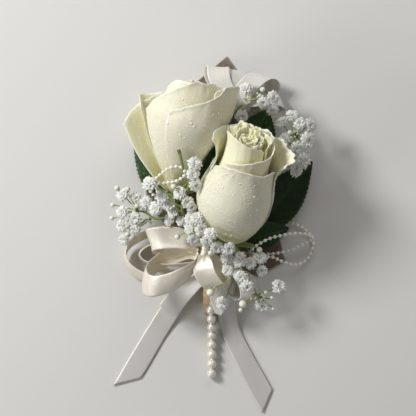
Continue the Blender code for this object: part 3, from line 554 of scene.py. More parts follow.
def leaf_finish(settings):
    """Rose leaf: dark and glossy above with paler veins, dull and paler below."""
    graph = Finish(
        "rose_leaf", 0.4, Subsurface_Weight=0.06, Subsurface_Scale=0.001, Specular_IOR_Level=0.3
    )
    patch_green, under_green = (0.025, 0.075, 0.015), (0.09, 0.16, 0.055)
    deep_green, edge_green = (0.004, 0.010, 0.004), (0.10, 0.16, 0.05)
    lines = graph.growth(lines=22.0)
    tone = graph.tone(patch=260.0, speck=2400.0)
    blade_colour = graph.mix(graph.between(tone["Patches"], 0.35, 0.7), settings.leaf_dark, patch_green)
    upper = graph.tint(blade_colour, graph.value("vein"), 0.75, settings.leaf_light)
    colour = graph.mix(graph.value("inner"), upper, under_green)
    colour = graph.tint(colour, graph.value("part"), 0.72, deep_green)
    colour = graph.tint(colour, graph.value("rim"), 0.35, edge_green)
    cells = graph.node("ShaderNodeTexVoronoi", {"Vector": graph.here(), "Scale": 900.0})
    relief = graph.sum("MULTIPLY_ADD", lines["Lines"], 0.4, cells.outputs["Distance"])
    graph.surface(colour, graph.patchy(lines["Patches"], 0.30, 0.48), relief, depth=0.0002, strength=0.5)


def calyx_finish(settings):
    """Hips, sepals and the gypsophila's stems: bright green, browner and drier at their ends."""
    graph = Finish("calyx_green", 0.5, Subsurface_Weight=0.05, Subsurface_Scale=0.001)
    fresh, line_green = (0.30, 0.38, 0.10), (0.07, 0.12, 0.02)
    dry_brown, pale_green = (0.10, 0.06, 0.025), (0.62, 0.66, 0.36)
    lines = graph.growth(lines=14.0, part=graph.value("part"))
    tone = graph.tone(patch=300.0, speck=1800.0)
    colour = graph.mix(graph.patchy(tone["Patches"]), settings.calyx, fresh)
    colour = graph.tint(colour, lines["Lines"], 0.4, line_green)
    colour = graph.mix(graph.value("dry"), colour, dry_brown)
    colour = graph.mix(graph.value("pale"), colour, pale_green)
    rough = graph.patchy(tone["Patches"], 0.42, 0.62)
    graph.surface(colour, rough, lines["Lines"], depth=0.00015, strength=0.6)


def floret_finish(settings):
    """Gypsophila petals: cool white, green at the heart of a bloom."""
    graph = Finish(
        "floret_white",
        0.6,
        Subsurface_Weight=0.25,
        Subsurface_Radius=(1.0, 1.0, 0.9),
        Subsurface_Scale=0.0008,
    )
    line_grey = (0.55, 0.60, 0.50)
    lines = graph.growth(lines=5.0, part=graph.value("part"))
    heart = graph.between(graph.value("rise"), 0.04, 0.3, 0.7, 0.0)
    heart = graph.sum("MAXIMUM", heart, graph.value("green"))
    colour = graph.tint(settings.white, heart, 0.85, settings.heart)
    colour = graph.tint(colour, lines["Lines"], 0.16, line_grey)
    rough = graph.patchy(lines["Patches"], 0.52, 0.68)
    graph.surface(colour, rough, lines["Lines"], depth=0.0001, strength=0.5)


def satin_finish(settings):
    """Satin: fine lengthwise threads, a dull back, a closer woven selvage, and painted shade that greys the
    tails.
    """
    graph = Finish(
        "satin_cream",
        0.34,
        Metallic=0.3,
        Anisotropic=0.5,
        Coat_Weight=0.7,
        Coat_Roughness=0.28,
        Specular_IOR_Level=1.0,
    )
    bright, thread_tan, selvage_cream = (0.93, 0.87, 0.76), (0.60, 0.48, 0.32), (0.88, 0.84, 0.76)
    weave = graph.weave(thread=0.22, selvage=0.55)
    tone = graph.tone(patch=60.0, speck=900.0)
    back = graph.value("inner")
    face = graph.mix(graph.patchy(tone["Patches"]), settings.satin, bright)
    # Painted shade: pieces marked cool, the flat tails, take the greyer tail colour for their dull reflection
    face = graph.mix(graph.value("cool"), face, settings.tail)
    colour = graph.mix(back, face, settings.satin_back)
    colour = graph.tint(colour, weave["Threads"], 0.10, thread_tan)
    colour = graph.tint(colour, weave["Selvage"], 0.65, selvage_cream)
    rough = graph.sum("MULTIPLY_ADD", back, 0.14, 0.32)
    rough = graph.sum("MULTIPLY_ADD", weave["Selvage"], 0.2, rough)
    relief = graph.sum("MULTIPLY_ADD", weave["Selvage"], 1.5, weave["Cross"])
    graph.surface(colour, rough, relief, depth=0.00005, strength=0.5)


def organza_finish(settings):
    """Organza: a sheer plain weave with lengthwise ribs that carry a painted sheen, a closer, whiter selvage,
    and painted shade on the inner side of its loops.
    """
    graph = Finish("organza_sheer", 0.45, Sheen_Weight=0.4, Specular_IOR_Level=0.5)
    thread_tan, rib_sheen_white = (0.72, 0.66, 0.57), (0.97, 0.96, 0.94)
    inner_shade_tan, selvage_white = (0.62, 0.57, 0.48), (0.88, 0.86, 0.82)
    weave = graph.weave(thread=0.42, selvage=0.45)
    tone = graph.tone(patch=110.0, speck=1100.0)
    ribs = graph.sum("SINE", graph.times(graph.value("wide"), 5.2))
    ribs = graph.between(ribs, -0.2, 1.0)
    colour = graph.tint(settings.organza, weave["Threads"], 0.35, thread_tan)
    # The ribs are the weave's own; the paler colour on them is a painted sheen
    colour = graph.tint(colour, ribs, 0.2, rib_sheen_white)
    # Painted shade on the inner side of each loop
    colour = graph.tint(colour, graph.value("inner"), 0.7, inner_shade_tan)
    colour = graph.tint(colour, weave["Selvage"], 0.8, selvage_white)
    # A little light comes through between the threads, and none through the selvage
    body = graph.sum("MULTIPLY_ADD", graph.between(weave["Cross"], 0.25, 0.75), 0.2, 0.76)
    graph.feed(graph.shader.inputs["Alpha"], graph.sum("MAXIMUM", body, weave["Selvage"]))
    relief = graph.sum("MULTIPLY_ADD", weave["Cross"], 0.4, ribs)
    graph.surface(colour, graph.patchy(tone["Patches"], 0.36, 0.52), relief, depth=0.00012, strength=0.6)


def taupe_finish(settings):
    """Backing ribbon: a coarse taupe weave with darker flecks, paler along its edge."""
    graph = Finish("taupe_ribbon", 0.78, Sheen_Weight=0.2)
    patch_tan, cross_brown, edge_tan = (0.30, 0.24, 0.18), (0.10, 0.07, 0.05), (0.42, 0.35, 0.28)
    weave = graph.weave(thread=0.55, selvage=0.5)
    tone = graph.tone(patch=420.0, speck=900.0)
    colour = graph.mix(graph.between(tone["Patches"], 0.35, 0.68), settings.taupe, patch_tan)
    colour = graph.tint(colour, weave["Cross"], 0.45, cross_brown)
    colour = graph.tint(colour, weave["Selvage"], 0.6, edge_tan)
    rough = graph.between(tone["Specks"], 0.0, 1.0, 0.72, 0.86)
    graph.surface(colour, rough, weave["Cross"], depth=0.00015, strength=0.8)


def tape_finish():
    """Floral tape: waxy, tan, with crossed wrinkles and painted shade along the edges of its laps."""
    graph = Finish("floral_tape", 0.62, Coat_Weight=0.1, Coat_Roughness=0.4)
    tan, pale_tan, lap_shade_brown = (0.40, 0.28, 0.16), (0.52, 0.39, 0.24), (0.20, 0.13, 0.07)
    tone = graph.tone(patch=380.0, speck=1500.0)
    colour = graph.mix(graph.patchy(tone["Patches"]), tan, pale_tan)
    # Painted shade along the edges of the laps
    colour = graph.tint(colour, graph.value("lap"), 0.5, lap_shade_brown)
    relief = graph.sum("MULTIPLY_ADD", tone["Specks"], 0.5, tone["Patches"])
    graph.surface(colour, graph.patchy(tone["Patches"], 0.55, 0.72), relief, depth=0.0002, strength=0.5)


def pearl_finish(settings):
    """Pearl beads: cream with a clear coat and a faint change of tone over each; small beads are painted
    whiter as painted light.
    """
    graph = Finish("pearl_bead", 0.22, Coat_Weight=1.0, Coat_Roughness=0.08, Coat_IOR=1.6)
    glow, thread_tan, bead_light_white = (0.92, 0.87, 0.77), (0.80, 0.76, 0.66), (0.95, 0.93, 0.86)
    tone = graph.tone(patch=500.0, speck=2500.0)
    bare, small = graph.value("thread"), graph.value("small")
    colour = graph.mix(graph.patchy(tone["Patches"]), settings.pearl, glow)
    colour = graph.mix(bare, colour, thread_tan)
    # Painted light: the small beads are painted whiter to make up for the shade they lie in
    colour = graph.tint(colour, small, 0.8, bead_light_white)
    graph.feed(graph.shader.inputs["Metallic"], graph.sum("MULTIPLY_ADD", small, -0.24, 0.28))
    rough = graph.sum("MULTIPLY_ADD", bare, 0.4, graph.patchy(tone["Patches"], 0.2, 0.28))
    graph.surface(colour, rough, tone["Patches"], depth=0.00008, strength=0.3)


def dew_finish():
    """Water drops: bright, and coloured by what shows through them."""
    graph = Finish(
        "dew_water", 0.16, Specular_IOR_Level=1.0, Coat_Weight=1.0, Coat_Roughness=0.12, Coat_IOR=1.7
    )
    on_petal, on_leaf = (0.92, 0.89, 0.72), (0.05, 0.11, 0.03)
    tone = graph.tone(patch=900.0, speck=3000.0)
    colour = graph.mix(graph.value("leafy"), on_petal, on_leaf)
    graph.surface(colour, 0.16, tone["Patches"], depth=0.00002, strength=0.3)


# Roses

# How far the rim curls over, and how deep the folds of outer and of inner petals are
RIM_CURL = 0.5
OUTER_FOLD = 0.35
INNER_FOLD = 0.3


class Petal:
    """One petal, laid round the flower's body and bent away from it towards the rim.

    left and right are the angles of its side edges in degrees, from the base to the top, 0
    towards the front and growing to the right. heights and radii are the rim's height up the
    axis and its distance from it, from the left to the right. layer scales the body that the
    petal follows, start is the share of its height where it grows out of the core, and late
    says how late it leaves the body. wave and phase ruffle the rim, roll bends the last of it
    out, and frill crumples it.
    """

    def __init__(self, left, right, heights, radii, layer=1.0, start=0.0, late=3.0, wave=0.0, phase=0.0,
                 roll=0.8, frill=0.1):
        self.left, self.right = left, right
        self.heights, self.radii = heights, radii
        self.layer, self.start, self.late = layer, start, late
        self.wave, self.phase, self.roll, self.frill = wave, phase, roll, frill

    def surface(self, body, lean, s, t, seed):
        """Point at s from the left side to the right, and t from the base to the rim, 0 to 1."""
        side = min(s, 1 - s)
        bend = max(0.0, (t - 0.75) / 0.25)
        curl = RIM_CURL * max(0.0, (t - 0.93) / 0.07) ** 2
        ruffle = math.sin(self.phase + 9 * s) * bend**2
        # The rim's corners are rounded, and its edge is a little ragged
        corner = max(0.0, 1 - side / 0.09)
        ragged = noise.noise(Vector((9 * s, seed, 0.0))) + 0.5 * noise.noise(Vector((31 * s, seed, 4.0)))
        top = spread(self.heights, s) - 1.5 * corner**2
        height = top * t
        # The petal follows the body, and leaves it towards the rim's own radius
        followed = self.layer * body_radius(body, height)
        leave = spread(self.radii, s) - self.layer * body_radius(body, top)
        radius = max(followed + leave * t**self.late, 1.0)
        # Fine crumples near the rim, thicker side edges and broad soft folds
        crumple = 0.05 * smoothstep((t - 0.3) / 0.6) + (self.frill - 0.05) * smoothstep((t - 0.85) / 0.14)
        crumple *= noise.noise(Vector((14 * s, 7 * t, seed)))
        radius += self.roll * bend**2 + self.wave * ruffle + curl + 3.0 * crumple
        radius += 0.35 * max(0.0, 1 - side / 0.05) ** 2 * smoothstep((t - 0.2) / 0.3)
        fold = OUTER_FOLD if self.start == 0 else INNER_FOLD
        radius += fold * noise.noise(Vector((5.5 * s, 1.6 * t, seed + 9.0))) * smoothstep((t - 0.45) / 0.5)
        height -= 0.4 * abs(self.roll) * bend**2 - 0.5 * self.wave * ruffle + 0.45 * curl
        height += (0.45 + 1.3 * self.frill) * ragged * smoothstep((t - 0.8) / 0.2)
        left, right = spread(self.left, t), spread(self.right, t)
        angle = math.radians(left + (right - left) * s)
        shift = lean * math.sin(math.pi * min(1.0, height / body[-1][0])) * (1 - t**4)
        return Vector((radius * math.sin(angle) + shift, -radius * math.cos(angle), height))


def body_radius(body, height):
    """The radius of a flower's body at a height, smoothly through its (height, radius) pairs."""
    if height >= body[-1][0]:
        return body[-1][1]
    i = 0
    while height > body[i + 1][0]:
        i += 1
    (low, start), (high, end) = body[i], body[i + 1]
    before = body[max(i - 1, 0)]
    after = body[min(i + 2, len(body) - 1)]
    reach = high - low
    slope_in = (end - before[1]) / max(high - before[0], 1e-6)
    slope_out = (after[1] - start) / max(after[0] - low, 1e-6)
    t = min(max((height - low) / reach, 0.0), 1.0)
    stay = start * (2 * t**3 - 3 * t**2 + 1) + end * (3 * t**2 - 2 * t**3)
    return stay + reach * (slope_in * (t**3 - 2 * t**2 + t) + slope_out * (t**3 - t**2))


# The large rose is seen from its side: a cone of petals, one wrapped over the front, and one
# folded out at the left. body is its outline as heights and radii, lean shifts its middle.
UPPER_ROSE = {
    "place": (-19.0, 21.5, 17.0),
    "elevation": 20,
    "heading": 12.7,
    "body": ((0, 2.6), (4, 4.8), (11, 8.0), (20, 12.4), (31, 17.2), (42, 20.2), (52, 19.6), (62, 17.5)),
    "lean": -3.0,
    "core": ((4.0, 3.8), (12.0, 7.4), (24.0, 12.0), (36.0, 13.8), (46.0, 9.0), (54.0, 3.0)),
    "petals": [
        Petal((-8, -12, -19, -25, -29), (42, 50, 53, 48, 54), (48.5, 53.0, 56.6, 60.6, 65.0),
              (21.4, 21.0, 20.6, 19.0, 16.6), layer=1.1),
        Petal((-48, -64, -72, -78), 64, (42.8, 50.4, 56.4, 60.6, 64.0, 63.0, 63.2, 62.4, 59.5),
              (22.6, 20.6, 18.8, 16.4, 14.0, 12.0, 10.6, 10.6, 11.0), layer=0.96, roll=0.4),
        Petal((-66, -80, -87, -90), -150, (31.0, 39.5, 43.5, 44.5, 40.0),
              (31.0, 27.0, 22.5, 21.0, 20.0), layer=1.04, late=0.58, roll=1.2),
        Petal(-92, -176, (40.6, 42.6, 43.6, 43.2, 45.6, 45.4, 45.0, 44.5, 44.0),
              (24.5, 27.0, 29.2, 26.0, 22.5, 21.5, 20.5, 20.0, 19.5), layer=1.02),
        Petal(30, 128, (62.0, 63.5, 63.0, 58.0, 52.0), (16.5, 17.4, 18.6, 19.6, 20.0), roll=0.5),
        Petal(118, 216, (54.0, 53.0, 51.0, 49.5, 47.0), (17.5, 18.0, 18.0, 18.6, 19.5), wave=0.5),
        Petal(-100, -8, (52.0, 58.0, 60.5, 61.0, 59.5), (14.0, 11.5, 9.5, 7.6, 7.0), layer=0.72, start=0.35),
        Petal(24, 160, (57.0, 61.0, 59.0, 55.5, 53.0), (7.5, 8.5, 11.0, 12.5, 12.5), layer=0.72, start=0.35),
        Petal(156, 276, (52.5, 54.0, 54.0, 53.0, 52.0), (9.5, 10.0, 10.0, 10.5, 11.0), layer=0.6, start=0.4),
        Petal(-70, 90, (57.0, 59.0, 59.0, 57.0), (4.5, 4.4, 4.2, 4.5), layer=0.45, start=0.6),
        Petal(110, 260, (55.0, 57.0, 57.0, 55.0), (4.6, 4.4, 4.4, 4.8), layer=0.42, start=0.6),
        Petal(-30, 110, (57.0, 58.5, 58.0, 56.0), (8.8, 8.6, 8.2, 8.4), layer=0.52, start=0.5, frill=0.3),
        Petal(95, 235, (55.0, 56.5, 57.0, 56.0), (8.6, 8.2, 8.0, 8.4), layer=0.5, start=0.5, frill=0.3),
        Petal(215, 345, (56.0, 57.0, 57.5, 57.0), (8.2, 8.0, 7.8, 8.2), layer=0.48, start=0.5, frill=0.3),
        Petal(-60, 120, (56.5, 58.0, 57.5), (6.4, 6.2, 6.0), layer=0.36, start=0.55, frill=0.4),
        Petal(110, 300, (56.0, 57.5, 57.0), (6.2, 6.0, 6.2), layer=0.35, start=0.55, frill=0.4),
        Petal(-20, 200, (57.0, 58.5, 57.5), (2.6, 2.9, 2.4), layer=0.2, start=0.7, frill=0.5),
        Petal(170, 380, (56.5, 58.0, 57.0), (1.5, 1.8, 1.4), layer=0.12, start=0.75, frill=0.5),
    ],
}

# The lower rose shows its open centre. One petal folds out right and one curls out left.
LOWER_ROSE = {
    "place": (9.7, -2.8, 17.0),
    "elevation": 35,
    "heading": 9.4,
    "body": ((0, 2.6), (2, 5.4), (5, 8.8), (12, 14.0), (20, 17.6), (28, 18.6), (36, 17.2), (46, 14.8),
             (56, 14.2)),
    "lean": -3.1,
    "core": ((3.0, 5.4), (12.0, 12.0), (28.0, 14.8), (42.0, 11.0), (52.0, 6.4), (58.0, 3.0)),
    "petals": [
        Petal((-104, -104, -98, -78), (92, 92, 88, 76), (46.5, 52.0, 53.0, 50.3, 49.5),
              (13.8, 14.3, 14.6, 14.3, 13.8)),
        Petal((76, 80, 78, 76), 142, (53.5, 54.8, 57.2, 56.6, 57.0),
              (19.0, 21.0, 20.4, 18.2, 15.4), late=6.0, wave=0.9, roll=1.0, frill=0.5),
        Petal((-92, -90, -84, -84), -166, (61.0, 61.5, 61.0, 60.5, 59.5),
              (17.0, 16.8, 15.8, 14.8, 14.0), layer=0.88, late=6.0, roll=0.8),
        Petal(78, 170, (46.0, 49.0, 51.0, 51.0), (14.4, 16.0, 16.4, 16.0), layer=1.03, roll=1.5),
        Petal(-185, -95, (50.0, 49.0, 45.0, 38.0), (15.6, 15.8, 15.8, 16.4), layer=1.02, roll=1.0),
        Petal(116, 236, (59.0, 61.0, 61.3, 62.3, 60.0), (13.2, 13.2, 13.0, 13.0, 13.2), wave=0.6, start=0.2,
              layer=0.92, frill=0.5),
        Petal((-50, -50, -45), 108, (53.5, 55.4, 57.4, 58.2, 59.6),
              (12.4, 12.0, 11.9, 11.8, 12.0), layer=0.82, start=0.4, roll=0.5),
        Petal(-98, 62, (64.6, 66.0, 64.5, 62.0, 60.0), (10.4, 9.4, 8.6, 8.0, 7.8), layer=0.72, start=0.45,
              roll=0.2, frill=0.08),
        Petal(74, 236, (60.5, 63.0, 63.5, 64.0, 64.0), (8.4, 9.0, 9.2, 9.4, 9.8), layer=0.68, start=0.5,
              wave=0.8, roll=0.3, frill=0.7),
        Petal(-70, 90, (64.0, 63.0, 61.5, 62.0), (6.2, 5.8, 5.2, 5.2), layer=0.45, start=0.65,
              wave=0.6, roll=0.2, frill=0.8),
        Petal(100, 275, (62.0, 64.5, 64.0, 63.5), (5.8, 6.2, 6.2, 6.6), layer=0.48, start=0.65, wave=0.6,
              phase=2, roll=0.2, frill=0.8),
        Petal(-30, 200, (61.5, 63.5, 62.0), (2.6, 3.0, 2.4), layer=0.2, start=0.8, wave=0.4,
              roll=0.2, frill=0.7),
        Petal(190, 330, (60.0, 61.5, 60.5), (8.0, 7.4, 7.0), layer=0.5, start=0.55, frill=0.5),
        Petal(20, 150, (61.5, 62.5, 61.0), (4.4, 4.6, 4.2), layer=0.3, start=0.7, frill=0.6),
        Petal(150, 330, (61.0, 62.0, 61.5), (4.2, 4.0, 4.4), layer=0.3, start=0.7, frill=0.6),
        Petal(160, 370, (61.5, 62.5, 61.5), (1.5, 1.8, 1.4), layer=0.12, start=0.8, frill=0.6),
    ],
}


# How far a hip reaches below its rose's place, the sides of a core, and the start from which
# a petal belongs to the heart, painted yellower and brighter: partly its own colour, partly painted glow
HIP_DEPTH = 9.0
CORE_SIDES = 32
HEART_START = 0.42


def rose_axis(rose):
    """The direction from the rose's base to its centre."""
    elevation = math.radians(rose["elevation"])
    heading = math.radians(rose["heading"])
    flat = math.cos(elevation)
    return Vector((flat * math.sin(heading), flat * math.cos(heading), math.sin(elevation)))


def rose_matrix(rose):
    """From a rose's own frame, +Z up its axis and its front at -Y, to the model's."""
    tilt = Matrix.Rotation(math.radians(rose["elevation"] - 90), 4, "X")
    heading = Matrix.Rotation(math.radians(-rose["heading"]), 4, "Z")
    return Matrix.Translation(rose["place"]) @ heading @ tilt


def petal_grid(rose, petal, up, seed):
    """A petal's rows of points, and how high, how far across and how near the rim each one is."""
    matrix = rose_matrix(rose)
    angle = abs(spread(petal.right, 0.5) - spread(petal.left, 0.5))
    over = max(28, min(72, round(angle / 2.6)))
    rows, rise, across, rim = [], [], [], []
    for i in range(up + 1):
        # Rows are closer together towards the rim, and columns towards the sides
        t = petal.start + (1 - petal.start) * (1 - (1 - i / up) ** 1.5)
        row = []
        for j in range(over + 1):
            s = j / over
            s = s + 0.35 * s * (1 - s) * (2 * s - 1)
            row.append(matrix @ petal.surface(rose["body"], rose["lean"], s, t, seed))
            rise.append(t)
            across.append(s)
            rim.append(1.0 if j in (0, over) else smoothstep((t - 0.968) / 0.032))
        rows.append(row)
    return rows, rise, across, rim


def rose_shape(rose, thickness, up):
    """Every petal of a rose round its core."""
    shape = Shape()
    matrix = rose_matrix(rose)
    profile = [(0.0, 0.4), (3.2, 0.4)]
    profile += [(0.97 * radius, height) for height, radius in rose["core"]]
    profile.append((0.0, rose["core"][-1][0]))
    vertices, faces = lathe(profile, CORE_SIDES)
    core = [matrix @ v for v in vertices]
    shape.add(core, faces, rise=0.15, across=0.5, inner=0.5, part=0.0, rim=0.0, heart=1.0)
    axis_point = matrix @ Vector((0, 0, rose["body"][-1][0] * 0.4))
    for number, petal in enumerate(rose["petals"]):
        rows, rise, across, rim = petal_grid(rose, petal, up, 3.7 * number)
        vertices, faces = blade(rows, thickness)
        i, j = up // 2, (len(rows[0]) - 1) // 2
        middle = rows[i][j]
        normal = (rows[i + 1][j] - middle).cross(rows[i][j + 1] - middle)
        inner = two_sides(len(vertices), normal.dot(middle - axis_point) <= 0)
        heart = 1.0 if petal.start > HEART_START else 0.0
        part = (number * 0.618) % 1
        rise, across, rim = rise * 2, across * 2, rim * 2
        shape.add(vertices, faces, rise=rise, across=across, inner=inner, part=part, rim=rim, heart=heart)
    return shape


# A sepal's width in points, its length in steps, and the radius and height that it grows from
SEPAL_COLUMNS = 6
SEPAL_STEPS = 22
SEPAL_ROOT_RADIUS = 2.2
SEPAL_ROOT_HEIGHT = -1.6
SEPAL_THICKNESS = 0.45


def sepal_rows(at, out, lift, width, bend):
    """A pointed sepal that leaves the top of the hip and bends out: rows of points."""
    turn = math.radians(at)
    rows = []
    for i in range(SEPAL_STEPS + 1):
        t = i / SEPAL_STEPS
        radius = SEPAL_ROOT_RADIUS + (out - SEPAL_ROOT_RADIUS) * math.sin(math.pi / 2 * t)
        height = SEPAL_ROOT_HEIGHT + lift * t
        half = 0.12 + width / 2 * math.sin(math.pi * min(1.0, 0.22 + 0.78 * t)) ** 0.9
        sway = bend * math.sin(math.pi * t)
        row = []
        for j in range(SEPAL_COLUMNS + 1):
            side = 2 * j / SEPAL_COLUMNS - 1
            ragged = 1 + 0.12 * math.sin(19 * t + 2 * side)
            wide = side * half * ragged + sway
            x = radius * math.sin(turn) + wide * math.cos(turn)
            y = wide * math.sin(turn) - radius * math.cos(turn)
            row.append(Vector((x, y, height + 0.16 * half * side**2)))
        rows.append(row)
    return rows


# Sepals: angle round the hip, how far out and how far up they reach, width and sideways bend
UPPER_SEPALS = [
    (22, 17.0, 17.0, 5.0, 0.0),
    (-70, 12.8, 6.6, 4.0, 0.4),
    (100, 11.0, 7.0, 4.0, -0.4),
    (165, 8.2, 8.0, 3.4, 0.0),
    (-125, 9.0, 8.0, 3.6, 0.0),
]
LOWER_SEPALS = [
    (-64, 21.5, 13.0, 4.6, 0.0),
    (16, 11.5, 1.0, 4.0, 0.0),
    (84, 11.5, 1.0, 4.0, 0.3),
    (150, 8.0, 0.5, 3.6, 0.0),
    (-140, 8.0, 0.5, 3.6, 0.0),
]
HIP = [(0.0, -9.0), (1.2, -9.0), (1.5, -8.8), (1.6, -7.8), (1.9, -6.9), (2.7, -5.6), (3.25, -4.5)]
HIP += [(3.5, -3.5), (3.5, -2.7), (3.3, -1.8), (2.9, -1.0), (1.8, -0.8), (0.0, -0.8)]
HIP_SIDES = 24


def calyx_shape(rose, sepals):
    """The green hip under a rose with its sepals."""
    shape = Shape()
    matrix = rose_matrix(rose)
    vertices, faces = lathe(HIP, HIP_SIDES)
    rise = [(v.z + HIP_DEPTH) / HIP_DEPTH for v in vertices]
    shape.add([matrix @ v for v in vertices], faces, rise=rise, across=0.5, part=0.1, dry=0.0, pale=0.0)
    for number, values in enumerate(sepals):
        rows = [[matrix @ p for p in row] for row in sepal_rows(*values)]
        vertices, faces = blade(rows, SEPAL_THICKNESS)
        rise = [i / SEPAL_STEPS for i in range(len(rows)) for _ in rows[0]] * 2
        across = [j / SEPAL_COLUMNS for _ in rows for j in range(len(rows[0]))] * 2
        # Dry at the tip, and pale along both edges
        dry = [0.6 * smoothstep((t - 0.9) / 0.1) for t in rise]
        pale = [0.15 + 0.45 * smoothstep(abs(2 * u - 1) - 0.3) for u in across]
        shape.add(vertices, faces, rise=rise, across=across, part=0.2 * number, dry=dry, pale=pale)
    return shape


# Leaves: base, tip, width, arch, sideways roll in degrees and how dark the leaf is, 0 to 1
LEAVES = {
    "leaf_left": ((-17.0, 15.0, 9.0), (-39.8, 46.5, 3.0), 17.0, 0.6, 4, 0.1),
    "leaf_between": ((-1.0, 17.6, 6.6), (0.2, 46.0, 5.6), 9.5, 0.2, -4, 0.0),
    "leaf_top": ((15.5, 35.6, 9.2), (27.6, 63.0, 13.0), 21.0, 1.0, 0, 0.0),
    "leaf_right": ((22.0, 2.0, 3.6), (50.0, 37.0, 4.2), 20.0, 0.6, 0, 0.95),
    "leaf_low": ((14.0, -3.4, 6.8), (38.3, 3.4, 6.4), 13.0, 0.5, 0, 0.6),
}
LEAF_TEETH = 20
LEAF_VEINS = 8
LEAF_STEPS = 6 * LEAF_TEETH
LEAF_COLUMNS = 20


def leaf_shape(base, tip, width, arch, roll, dark, thickness):
    """A toothed rose leaf, folded a little along its midrib and quilted between its veins."""
    base, tip = Vector(base), Vector(tip)
    length = (tip - base).length
    along = (tip - base).normalized()
    across = along.cross(Vector((0, 0, 1))).normalized()
    up = across.cross(along)
    tilt = math.radians(roll)
    side_way = across * math.cos(tilt) + up * math.sin(tilt)
    lift_way = up * math.cos(tilt) - across * math.sin(tilt)
    rows, rise, wide_share, vein, rim = [], [], [], [], []
    for i in range(LEAF_STEPS + 1):
        t = i / LEAF_STEPS
        middle = base + (tip - base) * t + up * arch * math.sin(math.pi * t)
        outline = math.sin(math.pi * t**0.8) ** 0.75 * (1 - 0.35 * t**4) if 0 < t < 1 else 0.0
        half = 0.35 + width / 2 * outline
        saw = (t * LEAF_TEETH) % 1.0
        tooth = min(0.55, 0.08 * half) * saw**0.8 * (1 - smoothstep((saw - 0.86) / 0.14))
        row = []
        for j in range(LEAF_COLUMNS + 1):
            side = 2 * j / LEAF_COLUMNS - 1
            far = abs(side)
            wide = side * (half + tooth * far**3)
            pushed = along * (tooth * 0.8 * far**4)
            # Veins run forward from the midrib, and the blade swells between them
            track = t * LEAF_VEINS - far * half / length * LEAF_VEINS * 0.9
            gap = abs(track - round(track)) * 2
            quilt = 0.26 * gap**0.6 * min(1.0, 3 * far) * (1 - 0.6 * far) * min(1.0, half / 4)
            trough = -0.2 * max(0.0, 1 - far * half / 0.7)
            ripple = 0.3 * math.sin(9 * t + 2 * side) * far**2
            fold = 0.16 * math.hypot(wide, 0.6)
            lift = lift_way * (fold + quilt + trough + ripple)
            row.append(middle + side_way * wide + lift + pushed)
            rise.append(t)
            wide_share.append(side)
            middle_rib = max(0.0, 1 - far * half / 0.55)
            side_vein = max(0.0, 1 - gap * 5) * (1 - far) ** 0.4
            vein.append(max(middle_rib, 0.75 * side_vein))
            rim.append(1.0 if j in (0, LEAF_COLUMNS) else 0.0)
        rows.append(row)
    shape = Shape()
    vertices, faces = blade(rows, thickness)
    centre_normal = grid_normals(rows)[(LEAF_STEPS // 2) * (LEAF_COLUMNS + 1) + LEAF_COLUMNS // 2]
    inner = two_sides(len(vertices), centre_normal.dot(up) <= 0)
    rise, across, vein, rim = rise * 2, wide_share * 2, vein * 2, rim * 2
    shape.add(vertices, faces, rise=rise, across=across, vein=vein, rim=rim, inner=inner, part=dark)
    return shape


